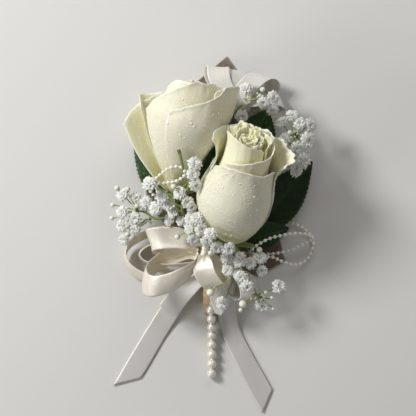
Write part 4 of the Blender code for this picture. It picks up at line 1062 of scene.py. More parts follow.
# Gypsophila sprays: the stalk's route, then x, y, z and size of each bloom and each bud
SPRAYS = {
    "gypsophila_left": (
        [(-24.0, 8.6, 13.8), (-28.5, 8.0, 15.0), (-33.5, 11.0, 16.0), (-38.5, 12.5, 17.0)],
        [
            (-45.2, 20.2, 18.0, 1.0), (-38.7, 19.0, 16.0, 0.9), (-33.4, 16.8, 19.0, 0.95),
            (-45.5, 11.5, 19.0, 1.0), (-38.8, 8.4, 19.0, 1.05), (-45.5, 4.5, 17.0, 1.0),
            (-39.2, 2.8, 16.5, 1.0), (-44.6, -2.4, 13.5, 0.9),
        ],
        [
            (-48.0, 23.5, 18.0, 1.0), (-42.8, 22.8, 18.0, 1.0), (-50.3, 15.0, 18.0, 0.9),
            (-38.2, 14.5, 20.0, 0.9), (-50.7, 8.4, 17.0, 0.9), (-42.8, 0.4, 19.0, 0.9),
        ],
    ),
    "gypsophila_upper": (
        [(-12, 6, 14), (-14, 9.5, 22), (-15.5, 14, 31), (-13, 22, 37), (-10.5, 29, 40.5)],
        [
            (-25.2, 19.2, 31.0, 1.0), (-22.0, 15.6, 27.0, 1.0), (-28.5, 13.2, 24.0, 1.1),
            (-16.5, 21.0, 36.5, 1.0), (-12.5, 16.4, 36.0, 0.95), (-31.5, 25.5, 36.8, 1.1),
            (-9.0, 35.4, 43.5, 1.1), (-10.0, 30.0, 44.0, 1.0), (-8.6, 24.8, 43.0, 1.0),
            (-20.0, 11.5, 25.0, 0.9), (-16.0, 7.0, 23.0, 0.85), (-22.0, 7.6, 20.5, 0.9),
            (-10.6, 13.8, 35.0, 0.9),
        ],
        [
            (-19.5, 24.0, 39.0, 1.1),
        ],
    ),
    "gypsophila_centre": (
        [(-4.0, 2.2, 14.0), (-8.0, 3.0, 20.0), (-10.0, 3.0, 28.0), (-8.0, 0.4, 34.0), (-2.6, -3.6, 37.0)],
        [
            (-11.2, 8.0, 31.0, 1.0), (-7.9, 8.4, 38.8, 1.0), (-11.6, 3.4, 31.5, 0.9),
            (-5.8, 3.0, 39.0, 1.05), (-9.6, -2.0, 30.5, 1.0), (-3.0, -2.4, 38.5, 0.95),
            (-1.2, 0.8, 42.5, 1.0), (1.8, -6.0, 37.6, 1.05), (7.8, -6.6, 37.4, 1.0),
        ],
        [
            (-1.2, -8.4, 32.0, 1.2), (-17.7, -0.8, 25.0, 1.1),
        ],
    ),
    "gypsophila_low": (
        [(14, -13, 14), (14.4, -14, 20), (16, -19, 24.5), (20, -26, 24), (23, -31.5, 22)],
        [
            (6.6, -11.0, 28.0, 1.0), (13.2, -12.2, 28.5, 1.15), (23.5, -11.4, 22.0, 1.05),
            (18.6, -14.0, 26.5, 0.9), (7.4, -17.4, 27.0, 0.95), (13.9, -20.8, 28.0, 1.0),
            (17.0, -25.5, 28.0, 1.05), (24.4, -18.0, 22.0, 0.9), (33.0, -25.7, 20.0, 1.15),
            (24.5, -35.3, 18.0, 1.1), (4.6, -34.0, 17.5, 1.0),
        ],
        [
            (-1.2, -28.4, 28.0, 1.6), (15.0, -34.3, 22.5, 1.6), (13.9, -37.4, 21.0, 0.9),
            (23.1, -7.4, 24.0, 1.2), (26.2, -28.8, 22.0, 0.8), (29.2, -31.4, 20.0, 0.9),
            (30.0, -36.9, 17.0, 0.8),
        ],
    ),
    "gypsophila_right": (
        [(28.0, 26.0, 10.2), (33.0, 34.0, 14.0), (38.0, 42.0, 19.0), (41.5, 50.0, 22.0)],
        [
            (39.6, 59.6, 23.0, 1.0), (43.2, 55.6, 24.0, 0.95), (48.5, 55.0, 22.0, 1.0),
            (47.4, 47.2, 24.5, 1.25), (35.6, 48.4, 20.0, 0.9), (41.8, 43.4, 23.0, 1.0),
            (45.0, 37.1, 23.5, 1.25), (41.8, 32.4, 19.0, 1.1), (34.4, 56.6, 19.0, 1.0),
        ],
        [
            (38.3, 51.0, 25.0, 1.0), (48.4, 50.8, 20.0, 1.0),
        ],
    ),
    "gypsophila_top": (
        [(7.0, 46.0, 10.2), (6.4, 54.0, 14.0), (12.5, 63.5, 18.4), (21.0, 68.0, 19.0), (26.5, 67.6, 18.6)],
        [
            (16.2, 73.5, 19.0, 1.05), (14.4, 59.4, 18.5, 1.0), (30.3, 69.0, 19.0, 1.0),
            (25.2, 66.0, 20.5, 1.0), (29.6, 62.6, 18.5, 0.95),
        ],
        [
            (24.8, 72.6, 20.0, 1.1), (23.4, 69.8, 20.0, 0.8), (16.4, 65.6, 20.0, 0.9),
        ],
    ),
}

# The cut stalk that stands in front of the large rose
CUT_STALK = [(-14.6, 31.0, 38.2), (-15.2, 35.0, 42.0), (-16.0, 38.6, 45.2), (-16.9, 41.9, 46.8)]

# Rings of petals in a bloom: how many, their length in bloom radii, rise at the base and bend
# outward to the tip in degrees, and width
BLOOM_RINGS = [
    (12, 0.98, 12, 22, 0.40),
    (12, 0.98, 32, 30, 0.38),
    (11, 0.90, 50, 36, 0.36),
    (9, 0.78, 64, 34, 0.34),
    (7, 0.62, 76, 28, 0.32),
    (5, 0.42, 84, 16, 0.28),
]
BLOOM_STEPS = 4
BLOOM_COLUMNS = (-1.0, -0.45, 0.45, 1.0)

# Outlines that are turned round their axis, in radii of the bloom or bud
HEART = [(0.0, -0.2), (0.10, -0.15), (0.12, 0.05), (0.08, 0.16), (0.0, 0.2)]
CUP = [(0.0, -0.52), (0.10, -0.50), (0.24, -0.36), (0.30, -0.16), (0.27, 0.02), (0.0, -0.05)]
BUD_BALL = [(0.0, -0.85), (0.42, -0.72), (0.82, -0.35), (1.0, 0.12), (0.88, 0.58), (0.55, 0.92)]
BUD_BALL += [(0.2, 1.12), (0.0, 1.16)]
BUD_CUP = [(0.0, -1.15), (0.22, -1.12), (0.62, -0.86), (0.95, -0.4), (1.06, 0.05), (0.98, 0.1), (0.0, -0.2)]


def scaled_lathe(profile, radius, sides):
    """A turned shape from a profile in radii."""
    return lathe([(a * radius, b * radius) for a, b in profile], sides)


def bloom_petals(shape, centre, facing, radius, draws):
    """The petals of one double bloom, in rings round its green heart."""
    turn = turned(facing, draws.uniform(0, math.pi))
    axis = Vector((0, 0, 1))
    number = 0
    for count, length, tilt, bend, width in BLOOM_RINGS:
        start = draws.uniform(0, 1)
        for k in range(count):
            number += 1
            angle = 2 * math.pi * (k + start + draws.uniform(-0.18, 0.18)) / count
            reach = length * radius * draws.uniform(0.86, 1.1)
            rise_angle = math.radians(tilt + draws.uniform(-9, 9))
            curl = math.radians(bend * draws.uniform(0.6, 1.5))
            wide = width * radius * draws.uniform(0.85, 1.15)
            twist = draws.uniform(-0.35, 0.35)
            out = Vector((math.cos(angle), math.sin(angle), 0))
            beside = Vector((-math.sin(angle), math.cos(angle), 0))
            rows, rise, across = [], [], []
            here = out * 0.06 * radius + Vector((0, 0, -0.12 * radius))
            for i in range(BLOOM_STEPS + 1):
                t = i / BLOOM_STEPS
                slope = rise_angle - curl * t * t
                ahead = out * math.cos(slope) + axis * math.sin(slope)
                lift = out * -math.sin(slope) + axis * math.cos(slope)
                if i:
                    here = here + ahead * reach / BLOOM_STEPS
                half = wide / 2 * (0.25 + 1.15 * t - 0.42 * t * t)
                row = []
                for j, side in enumerate(BLOOM_COLUMNS):
                    dip = 0.10 * wide * (1 - side * side) * t
                    tip_wave = 0.13 * wide * math.sin(5 * side + 2 * number) * t
                    # The tip is notched: its corners are cut back and it has a tooth and a nick
                    notch = 0.0
                    if i == BLOOM_STEPS:
                        notch = -0.10 * reach if abs(side) > 0.9 else 0.06 * reach * (1 if j == 1 else -1)
                    at = here + beside * half * side + lift * (tip_wave - dip + twist * side * half * t)
                    row.append(turn @ (at + ahead * notch) + centre)
                    rise.append(t * length)
                    across.append(side)
                rows.append(row)
            vertices, faces = blade(rows, 0.035 * radius, 0.6)
            part = (number * 0.37) % 1
            shape.add(vertices, faces, rise=rise * 2, across=across * 2, part=part, green=0.0)
    vertices, faces = scaled_lathe(HEART, radius, 8)
    shape.add([turn @ v + centre for v in vertices], faces, rise=0.0, across=0.0, part=0.5, green=1.0)


def twig(shape, points, start_radius, end_radius, sides=6, steps=5, dry_end=0.0):
    """A green stem along a smooth curve."""
    path = smooth_path(points, steps)
    last = len(path) - 1
    taper = end_radius - start_radius
    vertices, faces = ring_tube(path, lambda i, angle: start_radius + taper * i / last, sides)
    rise = [i / last for i in range(last + 1) for _ in range(sides)]
    dry = [dry_end * smoothstep((t - 0.8) / 0.12) for t in rise]
    shape.add(vertices, faces, rise=rise, across=0.5, part=0.3, dry=dry, pale=0.12)


def side_bud(white, green, bract, ahead, way, draws):
    """A tiny bud on its own twig, to one side of the stem that runs ahead from the bract."""
    beside = Vector((draws.uniform(0.3, 0.9) * way, draws.uniform(-0.6, 0.6), draws.uniform(0.0, 0.6)))
    tip = bract + (ahead + beside).normalized() * draws.uniform(1.6, 3.2)
    middle = (bract + tip) / 2 + Vector((0, 0, 0.12))
    twig(green, [bract, middle, tip], 0.22, 0.16, sides=5, steps=3)
    turn = turned((tip - bract).normalized())
    vertices, faces = scaled_lathe(BUD_BALL, draws.uniform(0.5, 0.8), 8)
    white.add([turn @ v + tip for v in vertices], faces, rise=1.0, across=0.0, part=0.2, green=0.55)


def spray_shapes(stalk, florets, buds, draws, bloom_radius, bud_radius):
    """The white and the green parts of one gypsophila spray."""
    white, green = Shape(), Shape()
    line = smooth_path(stalk, 6)
    twig(green, stalk, 0.62, 0.4, sides=8, steps=6)
    for number, (x, y, z, size) in enumerate(florets + buds):
        is_bud = number >= len(florets)
        centre = Vector((x, y, z))
        fork = min(line[:-1], key=lambda p: (p - centre).length + 0.35 * (p - line[0]).length)
        reach = centre - fork
        facing = (reach.normalized() * 0.6 + Vector((0, 0, 1))).normalized()
        facing += Vector([draws.uniform(-0.3, 0.3) for _ in range(3)])
        facing.normalize()
        radius = (bud_radius if is_bud else bloom_radius) * size
        stem_end = centre - facing * radius * (1.0 if is_bud else 0.42)
        sag = Vector((draws.uniform(-0.5, 0.5), draws.uniform(-0.5, 0.5), -0.06 * reach.length))
        middle = (fork + stem_end) / 2 + sag
        near_end = stem_end - facing * min(1.6, 0.3 * reach.length)
        twig(green, [fork, middle, near_end, stem_end], 0.34, 0.26)
        turn = turned(facing, draws.uniform(0, math.pi))
        if is_bud:
            vertices, faces = scaled_lathe(BUD_BALL, radius, 14)
            tone = [0.25 + 0.5 * smoothstep((0.3 - v.z / radius) / 0.9) for v in vertices]
            ball = [turn @ v + centre for v in vertices]
            white.add(ball, faces, rise=1.0, across=0.0, part=0.2, green=tone)
        else:
            bloom_petals(white, centre, facing, radius, draws)
        vertices, faces = scaled_lathe(BUD_CUP if is_bud else CUP, radius, 10)
        cup = [turn @ v + centre for v in vertices]
        green.add(cup, faces, rise=0.5, across=0.5, part=0.6, dry=0.0, pale=0.35)
        bract = fork.lerp(stem_end, 0.08)
        for way in (-1, 1):
            side_bud(white, green, bract, reach.normalized(), way, draws)
    return white, green


# Ribbons

# Columns of points across a ribbon, steps round a loop and along a stretch of a laid ribbon, the
# share of a turn where a loop leaves its root, how much of a turn it makes, and its ripple
RIBBON_COLUMNS = 14
LOOP_STEPS = 56
STRIP_STEPS = 10
LOOP_START = 0.03
LOOP_TURN = 0.94
RIPPLE = 0.45


def loop_rows(root, tip, bulge, width, gather, sway=(0.0, 0.0, 0.0)):
    """Edge points of a ribbon loop that leaves its root, rounds its tip and comes back.

    bulge is half the loop's depth, width is the ribbon's own width as a vector, and gather is
    the share of it that is left at the root. sway bends the loop sideways in its middle. Each
    row also gives how gathered it is.
    """
    root, tip, bulge, width, sway = (Vector(v) for v in (root, tip, bulge, width, sway))
    rows = []
    for i in range(LOOP_STEPS + 1):
        angle = 2 * math.pi * (LOOP_START + LOOP_TURN * i / LOOP_STEPS)
        share = (1 - math.cos(angle)) / 2
        centre = root + (tip - root) * share + bulge * math.sin(angle) + sway * (4 * share * (1 - share))
        held = smoothstep(share / 0.4)
        half = width / 2 * (gather + (1 - gather) * held)
        rows.append((centre - half, centre + half, 1 - held))
    return rows


def strip_rows(stations):
    """Edge points of a ribbon through pairs of edge points, joined by smooth curves."""
    left = smooth_path([a for a, b in stations], STRIP_STEPS)
    right = smooth_path([b for a, b in stations], STRIP_STEPS)
    return [(a, b, 0.0) for a, b in zip(left, right)]


def ribbon_shape(rows, thickness, crown=0.0, pleat=0.35, loop=True, cool=0.0):
    """A ribbon from its edge points, crowned across and pleated where it is gathered.

    Its inner side, the one towards the middle of a loop or the lower one of a laid ribbon, is the satin's
    dull back, and on organza it takes painted shade.
    """
    shape = Shape()
    middles = [(a + b) / 2 for a, b, gathered in rows]
    centre = sum(middles, Vector()) / len(middles)
    outward = 0.0
    run = distances(middles)
    grid, along, wide, edge = [], [], [], []
    for i, (a, b, gathered) in enumerate(rows):
        ahead = middles[min(i + 1, len(rows) - 1)] - middles[max(i - 1, 0)]
        lift = ahead.cross(b - a).normalized()
        outward += lift.dot(middles[i] - centre) if loop else lift.z
        width = (b - a).length
        row = []
        for j in range(RIBBON_COLUMNS + 1):
            u = j / RIBBON_COLUMNS
            hump = crown * (1 - (2 * u - 1) ** 2)
            if loop:
                hump += RIPPLE * noise.noise(Vector((0.15 * run[i], 1.2 * u, 9 * crown)))
            fold = pleat * gathered * math.cos(6 * math.pi * u)
            row.append(a.lerp(b, u) + lift * (hump + fold))
            along.append(run[i])
            wide.append((u - 0.5) * width)
            edge.append(min(u, 1 - u) * width)
        grid.append(row)
    vertices, faces = blade(grid, thickness, 0.8)
    inner = two_sides(len(vertices), outward < 0)
    shape.add(vertices, faces, along=along * 2, wide=wide * 2, edge=edge * 2, inner=inner, cool=cool)
    return shape


# Satin loops: root, tip, bulge, width and the share of the width that is left at the root
SATIN_LOOPS = {
    "satin_loop_far_left": ((-5.0, -9.0, 12.8), (-44.2, -11.2, 6.4), (0.0, 12.3, 0.0), (0.4, 4.4, 9.3), 0.35),
    "satin_loop_thin": ((-5.0, -9.0, 13.0), (-37.0, -10.0, 6.2), (0.0, 5.6, 0.0), (0.2, 0.6, 10.2), 0.35),
    "satin_loop_upper": ((-6.0, -4.0, 15.8), (-32.4, -3.2, 15.0), (0.4, 2.2, 4.2), (-3.2, 10.8, 1.0), 0.5),
    "satin_loop_big": ((-8.0, -11.4, 18.6), (-34.4, -22.6, 21.5), (0.4, -6.3, 8.7), (-2.2, -10.6, -3.6), 0.6),
    "satin_loop_centre": ((-3.0, -9.5, 20.0), (1.6, -25.6, 22.6), (-4.0, 0.5, 4.8), (-10.2, -2.4, -1.5), 0.6),
}

# Tails as pairs of edge points. The left one has a sharp mitred kink between its two runs.
TAIL_LEFT_UPPER = [
    ((-8.4, -13.6, 7.0), (-1.4, -21.4, 10.9)),
    ((-13.5, -19.0, 6.3), (-6.0, -26.4, 8.6)),
    ((-20.5, -27.0, 5.2), (-12.6, -34.0, 6.0)),
    ((-27.0, -35.4, 2.9), (-17.6, -41.1, 2.9)),
]
TAIL_LEFT_LOWER = [
    ((-26.2, -36.3, 2.5), (-17.8, -41.5, 2.6)),
    ((-28.4, -39.6, 1.4), (-19.6, -44.4, 1.4)),
    ((-33.5, -47.5, 0.5), (-24.6, -52.5, 0.5)),
    ((-42.0, -61.6, 0.5), (-32.0, -65.2, 0.5)),
    ((-50.6, -76.4, 0.5), (-36.5, -72.6, 0.5)),
]
TAIL_RIGHT = [
    ((0.8, -19.0, 10.8), (10.0, -17.5, 10.2)),
    ((1.2, -30.0, 9.6), (10.4, -29.0, 8.4)),
    ((2.5, -41.0, 4.6), (11.6, -39.5, 4.2)),
    ((5.2, -51.5, 0.9), (14.0, -48.6, 0.9)),
    ((10.0, -61.8, 0.5), (21.2, -62.5, 0.5)),
    ((16.8, -75.5, 0.5), (26.6, -72.0, 0.5)),
    ((25.2, -90.4, 0.5), (30.0, -78.4, 0.5)),
]

# Organza loops as the satin ones, the first with its sway, and the pointed end as pairs of edge points
TOP_TIE = (15.5, 62.0, 7.6)
LOW_TIE = (8.5, -16.5, 14.8)
ORGANZA_LOOPS = {
    "organza_loop_front": (
        TOP_TIE, (2.4, 85.0, 8.0), (1.2, -1.0, 4.4), (11.4, -0.6, 0.6), 0.6, (-4.8, 1.4, 0.0)
    ),
    "organza_loop_middle": (TOP_TIE, (11.8, 83.2, 7.2), (1.4, -0.2, 3.6), (9.6, -1.9, -1.8), 0.5),
    "organza_loop_round": (TOP_TIE, (27.6, 80.0, 9.6), (-5.0, 2.4, 5.0), (9.2, -4.0, 2.0), 0.6),
    "organza_loop_side": (TOP_TIE, (35.8, 64.5, 6.4), (0.5, 5.2, 1.6), (1.6, -6.0, 7.0), 0.4),
    "organza_loop_low": (LOW_TIE, (17.6, -32.0, 15.2), (3.0, 2.0, 3.2), (9.6, 0.6, -2.0), 0.4),
}
ORGANZA_END = [
    ((6.6, -17.5, 13.8), (12.0, -18.5, 13.0)),
    ((1.6, -24.0, 12.9), (11.6, -25.0, 12.8)),
    ((-1.5, -31.5, 13.0), (9.0, -33.5, 12.6)),
    ((1.2, -39.5, 13.4), (4.0, -40.6, 13.0)),
]

# The backing ribbon: its outline, its thickness, and the grid that it is cut into
BACKING_OUTLINE = [
    (-34.8, 27.6), (-33.0, 16.0), (-20.0, 0.0), (-6.0, -12.0), (22.5, -21.3), (36.6, -13.6),
    (34.0, -2.8), (18.0, 6.0), (15.0, 40.0), (19.0, 73.5), (7.0, 90.2), (-8.8, 77.0),
    (-11.0, 40.0), (-24.0, 31.0),
]
BACKING_SIDES = list(zip(BACKING_OUTLINE, BACKING_OUTLINE[1:] + BACKING_OUTLINE[:1]))
BACKING_THICKNESS = 0.8
GRID_STEP = 2.0
GRID_MARGIN = 0.2

# The handle's centre line with its radius at each point
HANDLE = [
    ((-1.6, -45.4, 1.9), 0.9),
    ((-1.6, -42.0, 2.9), 1.9),
    ((-1.3, -34.0, 4.8), 3.6),
    ((-0.8, -22.0, 5.5), 4.4),
    ((-0.4, -10.0, 5.6), 4.4),
    ((0.0, -4.0, 6.0), 3.6),
]

# Routes of the taped wires that run from the handle to the leaves, sprays and ribbon loops
THIN_WIRES = [
    [(0, -8, 6), (-10, 4, 6.5), (-16.6, 14.4, 8.8)],
    [(0, -8, 6), (-1, 8, 5.5), (-1, 17.0, 6.4)],
    [(0, -8, 6), (8, 14, 6.5), (13.4, 30, 8.0), (15.2, 34.8, 8.9)],
    [(0, -10, 5), (12, -4, 4), (21.2, 1.4, 3.5)],
    [(0, -8, 6), (8, -4.8, 6.4), (13.2, -3.6, 6.7)],
    [(0, -8, 7), (-8, 0, 9), (-17, 6, 12), (-23.2, 8.3, 13.4)],
    [(-2, -6, 7), (-9, 0, 8.5), (-12, 5.4, 13.2)],
    [(0, -8, 7), (-2, -1, 9.5), (-3.9, 1.8, 13.2)],
    [(0, -12, 6), (8, -14, 8.5), (13.7, -13.1, 13.2)],
    [(0, -8, 6), (10, 8, 6), (22, 20, 8.5), (27.4, 25.3, 9.8)],
    [(0, -8, 6), (7, 14, 6), (7.2, 34, 8), (7.0, 45.2, 9.8)],
    [(0, -8, 6), (9, 14, 4), (12, 40, 4.3), (14.8, 58.4, 5.4)],
    [(0, -14, 7), (5, -16, 10), (7.6, -15.6, 12.2)],
    [(0, -12, 6), (9, -9.5, 6.6), (17, -8.8, 8.4)],
]

# Strings: the pitch of the beads, the radius and sides of the thread, and the rings of a bead.
# Then the steps of a route's curve, the least gap between rings, and what a small bead is under.
PEARLS = {"pitch": 4.62, "thread": 0.7, "sides": 28, "rings": 16}
BEADS = {"pitch": 2.6, "thread": 0.22, "sides": 14, "rings": 9}
STRING_STEPS = 16
RING_GAP = 0.02
SMALL_BEAD = 1.5

# Routes of the strings, from the end that is tied in
PEARL_ROUTE = [(-1.1, -33.6, 10.2), (-1.0, -37.5, 9.9), (-0.8, -42.3, 8.2), (-0.5, -47.0, 5.2)]
PEARL_ROUTE += [(-0.5, -51.6, 2.9), (-0.5, -56.2, 2.45), (-0.5, -65.5, 2.45), (-0.75, -72.7, 2.45)]
BEADS_LEFT = [(-23.2, 12.8, 16.0), (-27.0, 17.0, 20.0), (-32.6, 24.5, 27.0), (-28.2, 28.2, 33.0)]
BEADS_LEFT += [(-22.5, 32.7, 37.4), (-17.5, 34.0, 39.0), (-14.4, 32.6, 39.6), (-14.2, 29.4, 38.6)]
BEADS_LEFT += [(-18.3, 26.8, 35.8), (-23.0, 25.9, 32.4), (-28.2, 24.6, 28.0), (-24.4, 14.0, 17.0)]
BEADS_LEFT += [(-22.0, 13.4, 16.2)]
BEADS_UPPER = [(18.2, -8.4, 10.4), (22.5, -5.0, 11.4), (28.6, -1.8, 11.4), (36.2, 0.0, 10.4)]
BEADS_UPPER += [(41.4, 0.7, 9.6), (46.0, 0.4, 8.6), (49.0, -0.6, 7.4), (50.3, -1.8, 5.6), (48.8, -3.2, 3.6)]
BEADS_UPPER += [(45.8, -4.8, 2.8), (39.6, -7.6, 3.0), (33.3, -9.2, 3.6), (26.0, -9.8, 5.6), (18.2, -9.4, 7.6)]
BEADS_LOWER = [(18.0, -10.2, 9.0), (23.5, -11.6, 8.6), (30.0, -11.3, 7.6), (36.2, -14.0, 5.0)]
BEADS_LOWER += [(42.3, -15.0, 3.0), (47.3, -12.8, 1.6), (50.0, -8.0, 1.1), (50.8, -3.6, 1.1)]
BEADS_LOWER += [(49.2, -0.2, 1.1), (45.6, 3.2, 1.1), (40.8, 5.6, 1.1), (35.0, 6.6, 1.4), (27.0, 1.0, 2.2)]
BEADS_LOWER += [(21.0, -6.4, 4.4), (17.2, -9.6, 6.8)]


def point_along(path, run, distance):
    """The point at a distance along a path. run is how far along each of its points is."""
    i = 0
    while i < len(path) - 2 and distance > run[i + 1]:
        i += 1
    share = (distance - run[i]) / max(run[i + 1] - run[i], 1e-9)
    return path[i].lerp(path[i + 1], min(max(share, 0.0), 1.0))


def bead_rings(total, radius, pitch, thread, rings, bare_end):
    """Rings along a string of beads: distance, radius, and 1 where the thread is bare."""
    count = int(total / pitch)
    start = (total - (count - 1) * pitch) / 2
    if bare_end:
        # The last bead closes the string, and the others spread out towards it
        pitch = (total - start - radius) / (count - 1)
    reach = math.acos(min(1.0, thread / radius))
    found = [(0.0, thread, 1.0)]
    for i in range(count):
        centre = start + i * pitch
        for ring in range(rings + 1):
            angle = math.pi / 2 - reach + 2 * reach * ring / rings
            swell = radius * math.sin(angle)
            bare = 1.0 if swell < thread * 1.2 else 0.0
            found.append((centre - radius * math.cos(angle), max(thread, swell), bare))
    found.append((total, thread, 1.0))
    kept = found[:1]
    for ring in found[1:]:
        if ring[0] > kept[-1][0] + RING_GAP:
            kept.append(ring)
    return kept


def bead_string(route, radius, pitch, thread, sides, rings, bare_end):
    """Round beads on a thread as one tube: its shape, and its ring centres in metres."""
    path = smooth_path(route, STRING_STEPS)
    run = distances(path)
    kept = bead_rings(run[-1], radius, pitch, thread, rings, bare_end)
    middle = [point_along(path, run, max(0.0, min(run[-1], distance))) for distance, size, bare in kept]
    vertices, faces = ring_tube(middle, lambda i, angle: kept[i][1], sides)
    shape = Shape()
    shown = [bare for distance, size, bare in kept for _ in range(sides)]
    shape.add(vertices, faces, thread=shown, small=1.0 if radius < SMALL_BEAD else 0.0)
    return shape, [p * MM for p in middle]


# Tape: a step along a taped stem, and the share of a turn over which the painted shade at a lap's edge fades
TAPE_STEP = 0.45
LAP_SHADE_SHARE = 0.12


def wrapped_tube(shape, points, radii, sides, pitch, ridge):
    """A taped stem: a tube with the spiral laps of its tape."""
    rough = distances(smooth_path(points, 1))[-1]
    fine = smooth_path(points, max(6, round(rough / len(points) / TAPE_STEP)))
    run = distances(fine)

    def size(i):
        share = i / (len(fine) - 1) * (len(radii) - 1)
        k = min(int(share), len(radii) - 2)
        return radii[k] + (radii[k + 1] - radii[k]) * smoothstep(share - k)

    def lap(i, angle):
        return (run[i] / pitch + angle / (2 * math.pi)) % 1.0

    vertices, faces = ring_tube(fine, lambda i, angle: size(i) + ridge * lap(i, angle), sides)
    # Painted shade along the edge of each lap
    laps = []
    for i in range(len(fine)):
        for side in range(sides):
            share = lap(i, 2 * math.pi * side / sides)
            laps.append(1 - smoothstep(min(share, 1 - share) / LAP_SHADE_SHARE))
    shape.add(vertices, faces, lap=laps)


# The satin bow's knot: its middle, half its length, the rings along it and the radius of its ends
KNOT_CENTRE = Vector((-4.0, -8.0, 14.3))
KNOT_HALF = 5.0
KNOT_RINGS = 24
KNOT_END = 2.6


def knot_shape():
    """The knot of the satin bow, waisted and creased round."""
    profile = [(0.0, -KNOT_HALF), (KNOT_END, -KNOT_HALF)]
    for ring in range(1, KNOT_RINGS):
        share = ring / KNOT_RINGS
        waist = 2.7 + 1.2 * abs(2 * share - 1) ** 2 + 0.16 * math.cos(10 * math.pi * share)
        profile.append((waist, 2 * KNOT_HALF * share - KNOT_HALF))
    profile += [(KNOT_END, KNOT_HALF), (0.0, KNOT_HALF)]
    vertices, faces = lathe(profile, 32)
    turn = turned(Vector((0.3, 1.0, 0.1)))
    wide = [v.z for v in vertices]
    run = [3.4 * math.atan2(v.y, v.x) for v in vertices]
    knot = Shape()
    knot.add([turn @ v + KNOT_CENTRE for v in vertices], faces, along=run, wide=wide, edge=5.0, inner=0.0)
    return knot


TIE = [(0.0, -3.0), (1.5, -3.0), (1.9, -2.2), (2.15, -1.0), (2.2, 0.0), (2.15, 1.0), (1.9, 2.2)]
TIE += [(1.5, 3.0), (0.0, 3.0)]


def tie_shape(centre, facing):
    """A creased organza tie round the roots of its loops."""
    vertices, faces = lathe(TIE, 20)
    turn = turned(Vector(facing))
    pinched = []
    for v in vertices:
        crease = 1 + 0.07 * math.cos(7 * math.atan2(v.y, v.x))
        pinched.append(turn @ Vector((v.x * crease, v.y * crease, v.z)) + Vector(centre))
    tie = Shape()
    tie.add(pinched, faces, along=0.0, wide=[v.z for v in vertices], edge=5.0, inner=0.0)
    return tie


def edge_distance(x, y):
    """How far a point of the backing ribbon is from its outline."""
    found = []
    for (ax, ay), (bx, by) in BACKING_SIDES:
        reach = math.hypot(bx - ax, by - ay)
        share = min(1.0, max(0.0, ((x - ax) * (bx - ax) + (y - ay) * (by - ay)) / reach**2))
        found.append(math.hypot(x - ax - share * (bx - ax), y - ay - share * (by - ay)))
    return min(found)


def backing_mesh():
    """The backing ribbon, cut into a grid so that its upper side can wave a little."""
    bm = bmesh.new()
    bm.faces.new([bm.verts.new((x * MM, y * MM, 0.0)) for x, y in BACKING_OUTLINE])
    bm.normal_update()
    for axis in range(2):
        low = min(p[axis] for p in BACKING_OUTLINE)
        high = max(p[axis] for p in BACKING_OUTLINE)
        cut = low + GRID_STEP
        while cut < high - GRID_MARGIN:
            place, way = Vector((0, 0, 0)), Vector((0, 0, 0))
            place[axis] = cut * MM
            way[axis] = 1.0
            geometry = bm.verts[:] + bm.edges[:] + bm.faces[:]
            bmesh.ops.bisect_plane(bm, geom=geometry, plane_co=place, plane_no=way, dist=1e-6)
            cut += GRID_STEP
    top = bmesh.ops.extrude_face_region(bm, geom=bm.faces[:])["geom"]
    for vertex in [v for v in top if isinstance(v, bmesh.types.BMVert)]:
        wave = noise.noise(Vector((vertex.co.x * 90, vertex.co.y * 90, 0.0)))
        vertex.co.z = (BACKING_THICKNESS - 0.25 + 0.2 * wave) * MM
    bmesh.ops.recalc_face_normals(bm, faces=bm.faces[:])
    mesh = bpy.data.meshes.new("taupe_backing")
    bm.to_mesh(mesh)
    bm.free()
    mesh.polygons.foreach_set("use_smooth", [False] * len(mesh.polygons))
    points = [vertex.co / MM for vertex in mesh.vertices]
    for name, column in (
        ("along", [0.82 * p.x + 0.57 * p.y for p in points]),
        ("wide", [0.82 * p.y - 0.57 * p.x for p in points]),
        ("edge", [edge_distance(p.x, p.y) for p in points]),
    ):
        mesh.attributes.new(name, "FLOAT", "POINT").data.foreach_set("value", column)
    return mesh


# How many drops fall from above on each of these pieces
DEW_BELOW = {
    "rose_leaf_left": 60,
    "rose_leaf_top": 50,
    "rose_leaf_between": 20,
    "satin_loop_upper": 45,
    "satin_loop_big": 14,
    "satin_loop_centre": 10,
}
DROP = [(0.0, -0.25), (0.85, -0.2), (0.98, 0.04), (0.72, 0.28), (0.3, 0.4), (0.0, 0.43)]


def drop(shape, centre, normal, radius, leafy=0.0):
    """A flattened drop of water that sits on a surface, a leaf or a pale one."""
    vertices, faces = scaled_lathe(DROP, radius, 8)
    turn = turned(normal)
    shape.add([turn @ v + centre for v in vertices], faces, leafy=leafy)


def surface_tree(name):
    """A tree that finds a piece's surface along a ray, and the piece's points in millimetres."""
    mesh = bpy.data.objects[name].data
    points = [v.co / MM for v in mesh.vertices]
    return BVHTree.FromPolygons(points, [tuple(p.vertices) for p in mesh.polygons]), points


def dew_round(shape, draws, rose, name, top, count):
    """Drops all round the front of a rose, thrown at its axis up to the height top."""
    tree, _ = surface_tree(name)
    matrix = rose_matrix(rose)
    for _ in range(count):
        angle = math.radians(draws.uniform(-105, 105))
        height = draws.uniform(5.0, top)
        start = matrix @ Vector((60 * math.sin(angle), -60 * math.cos(angle), height))
        end = matrix @ Vector((0, 0, height))
        place, normal, _, _ = tree.ray_cast(start, (end - start).normalized())
        size = 0.18 + 0.24 * draws.random() ** 2
        if draws.random() < 0.06:
            size += draws.uniform(0.2, 0.5)
        if place is not None:
            drop(shape, place, normal, size)


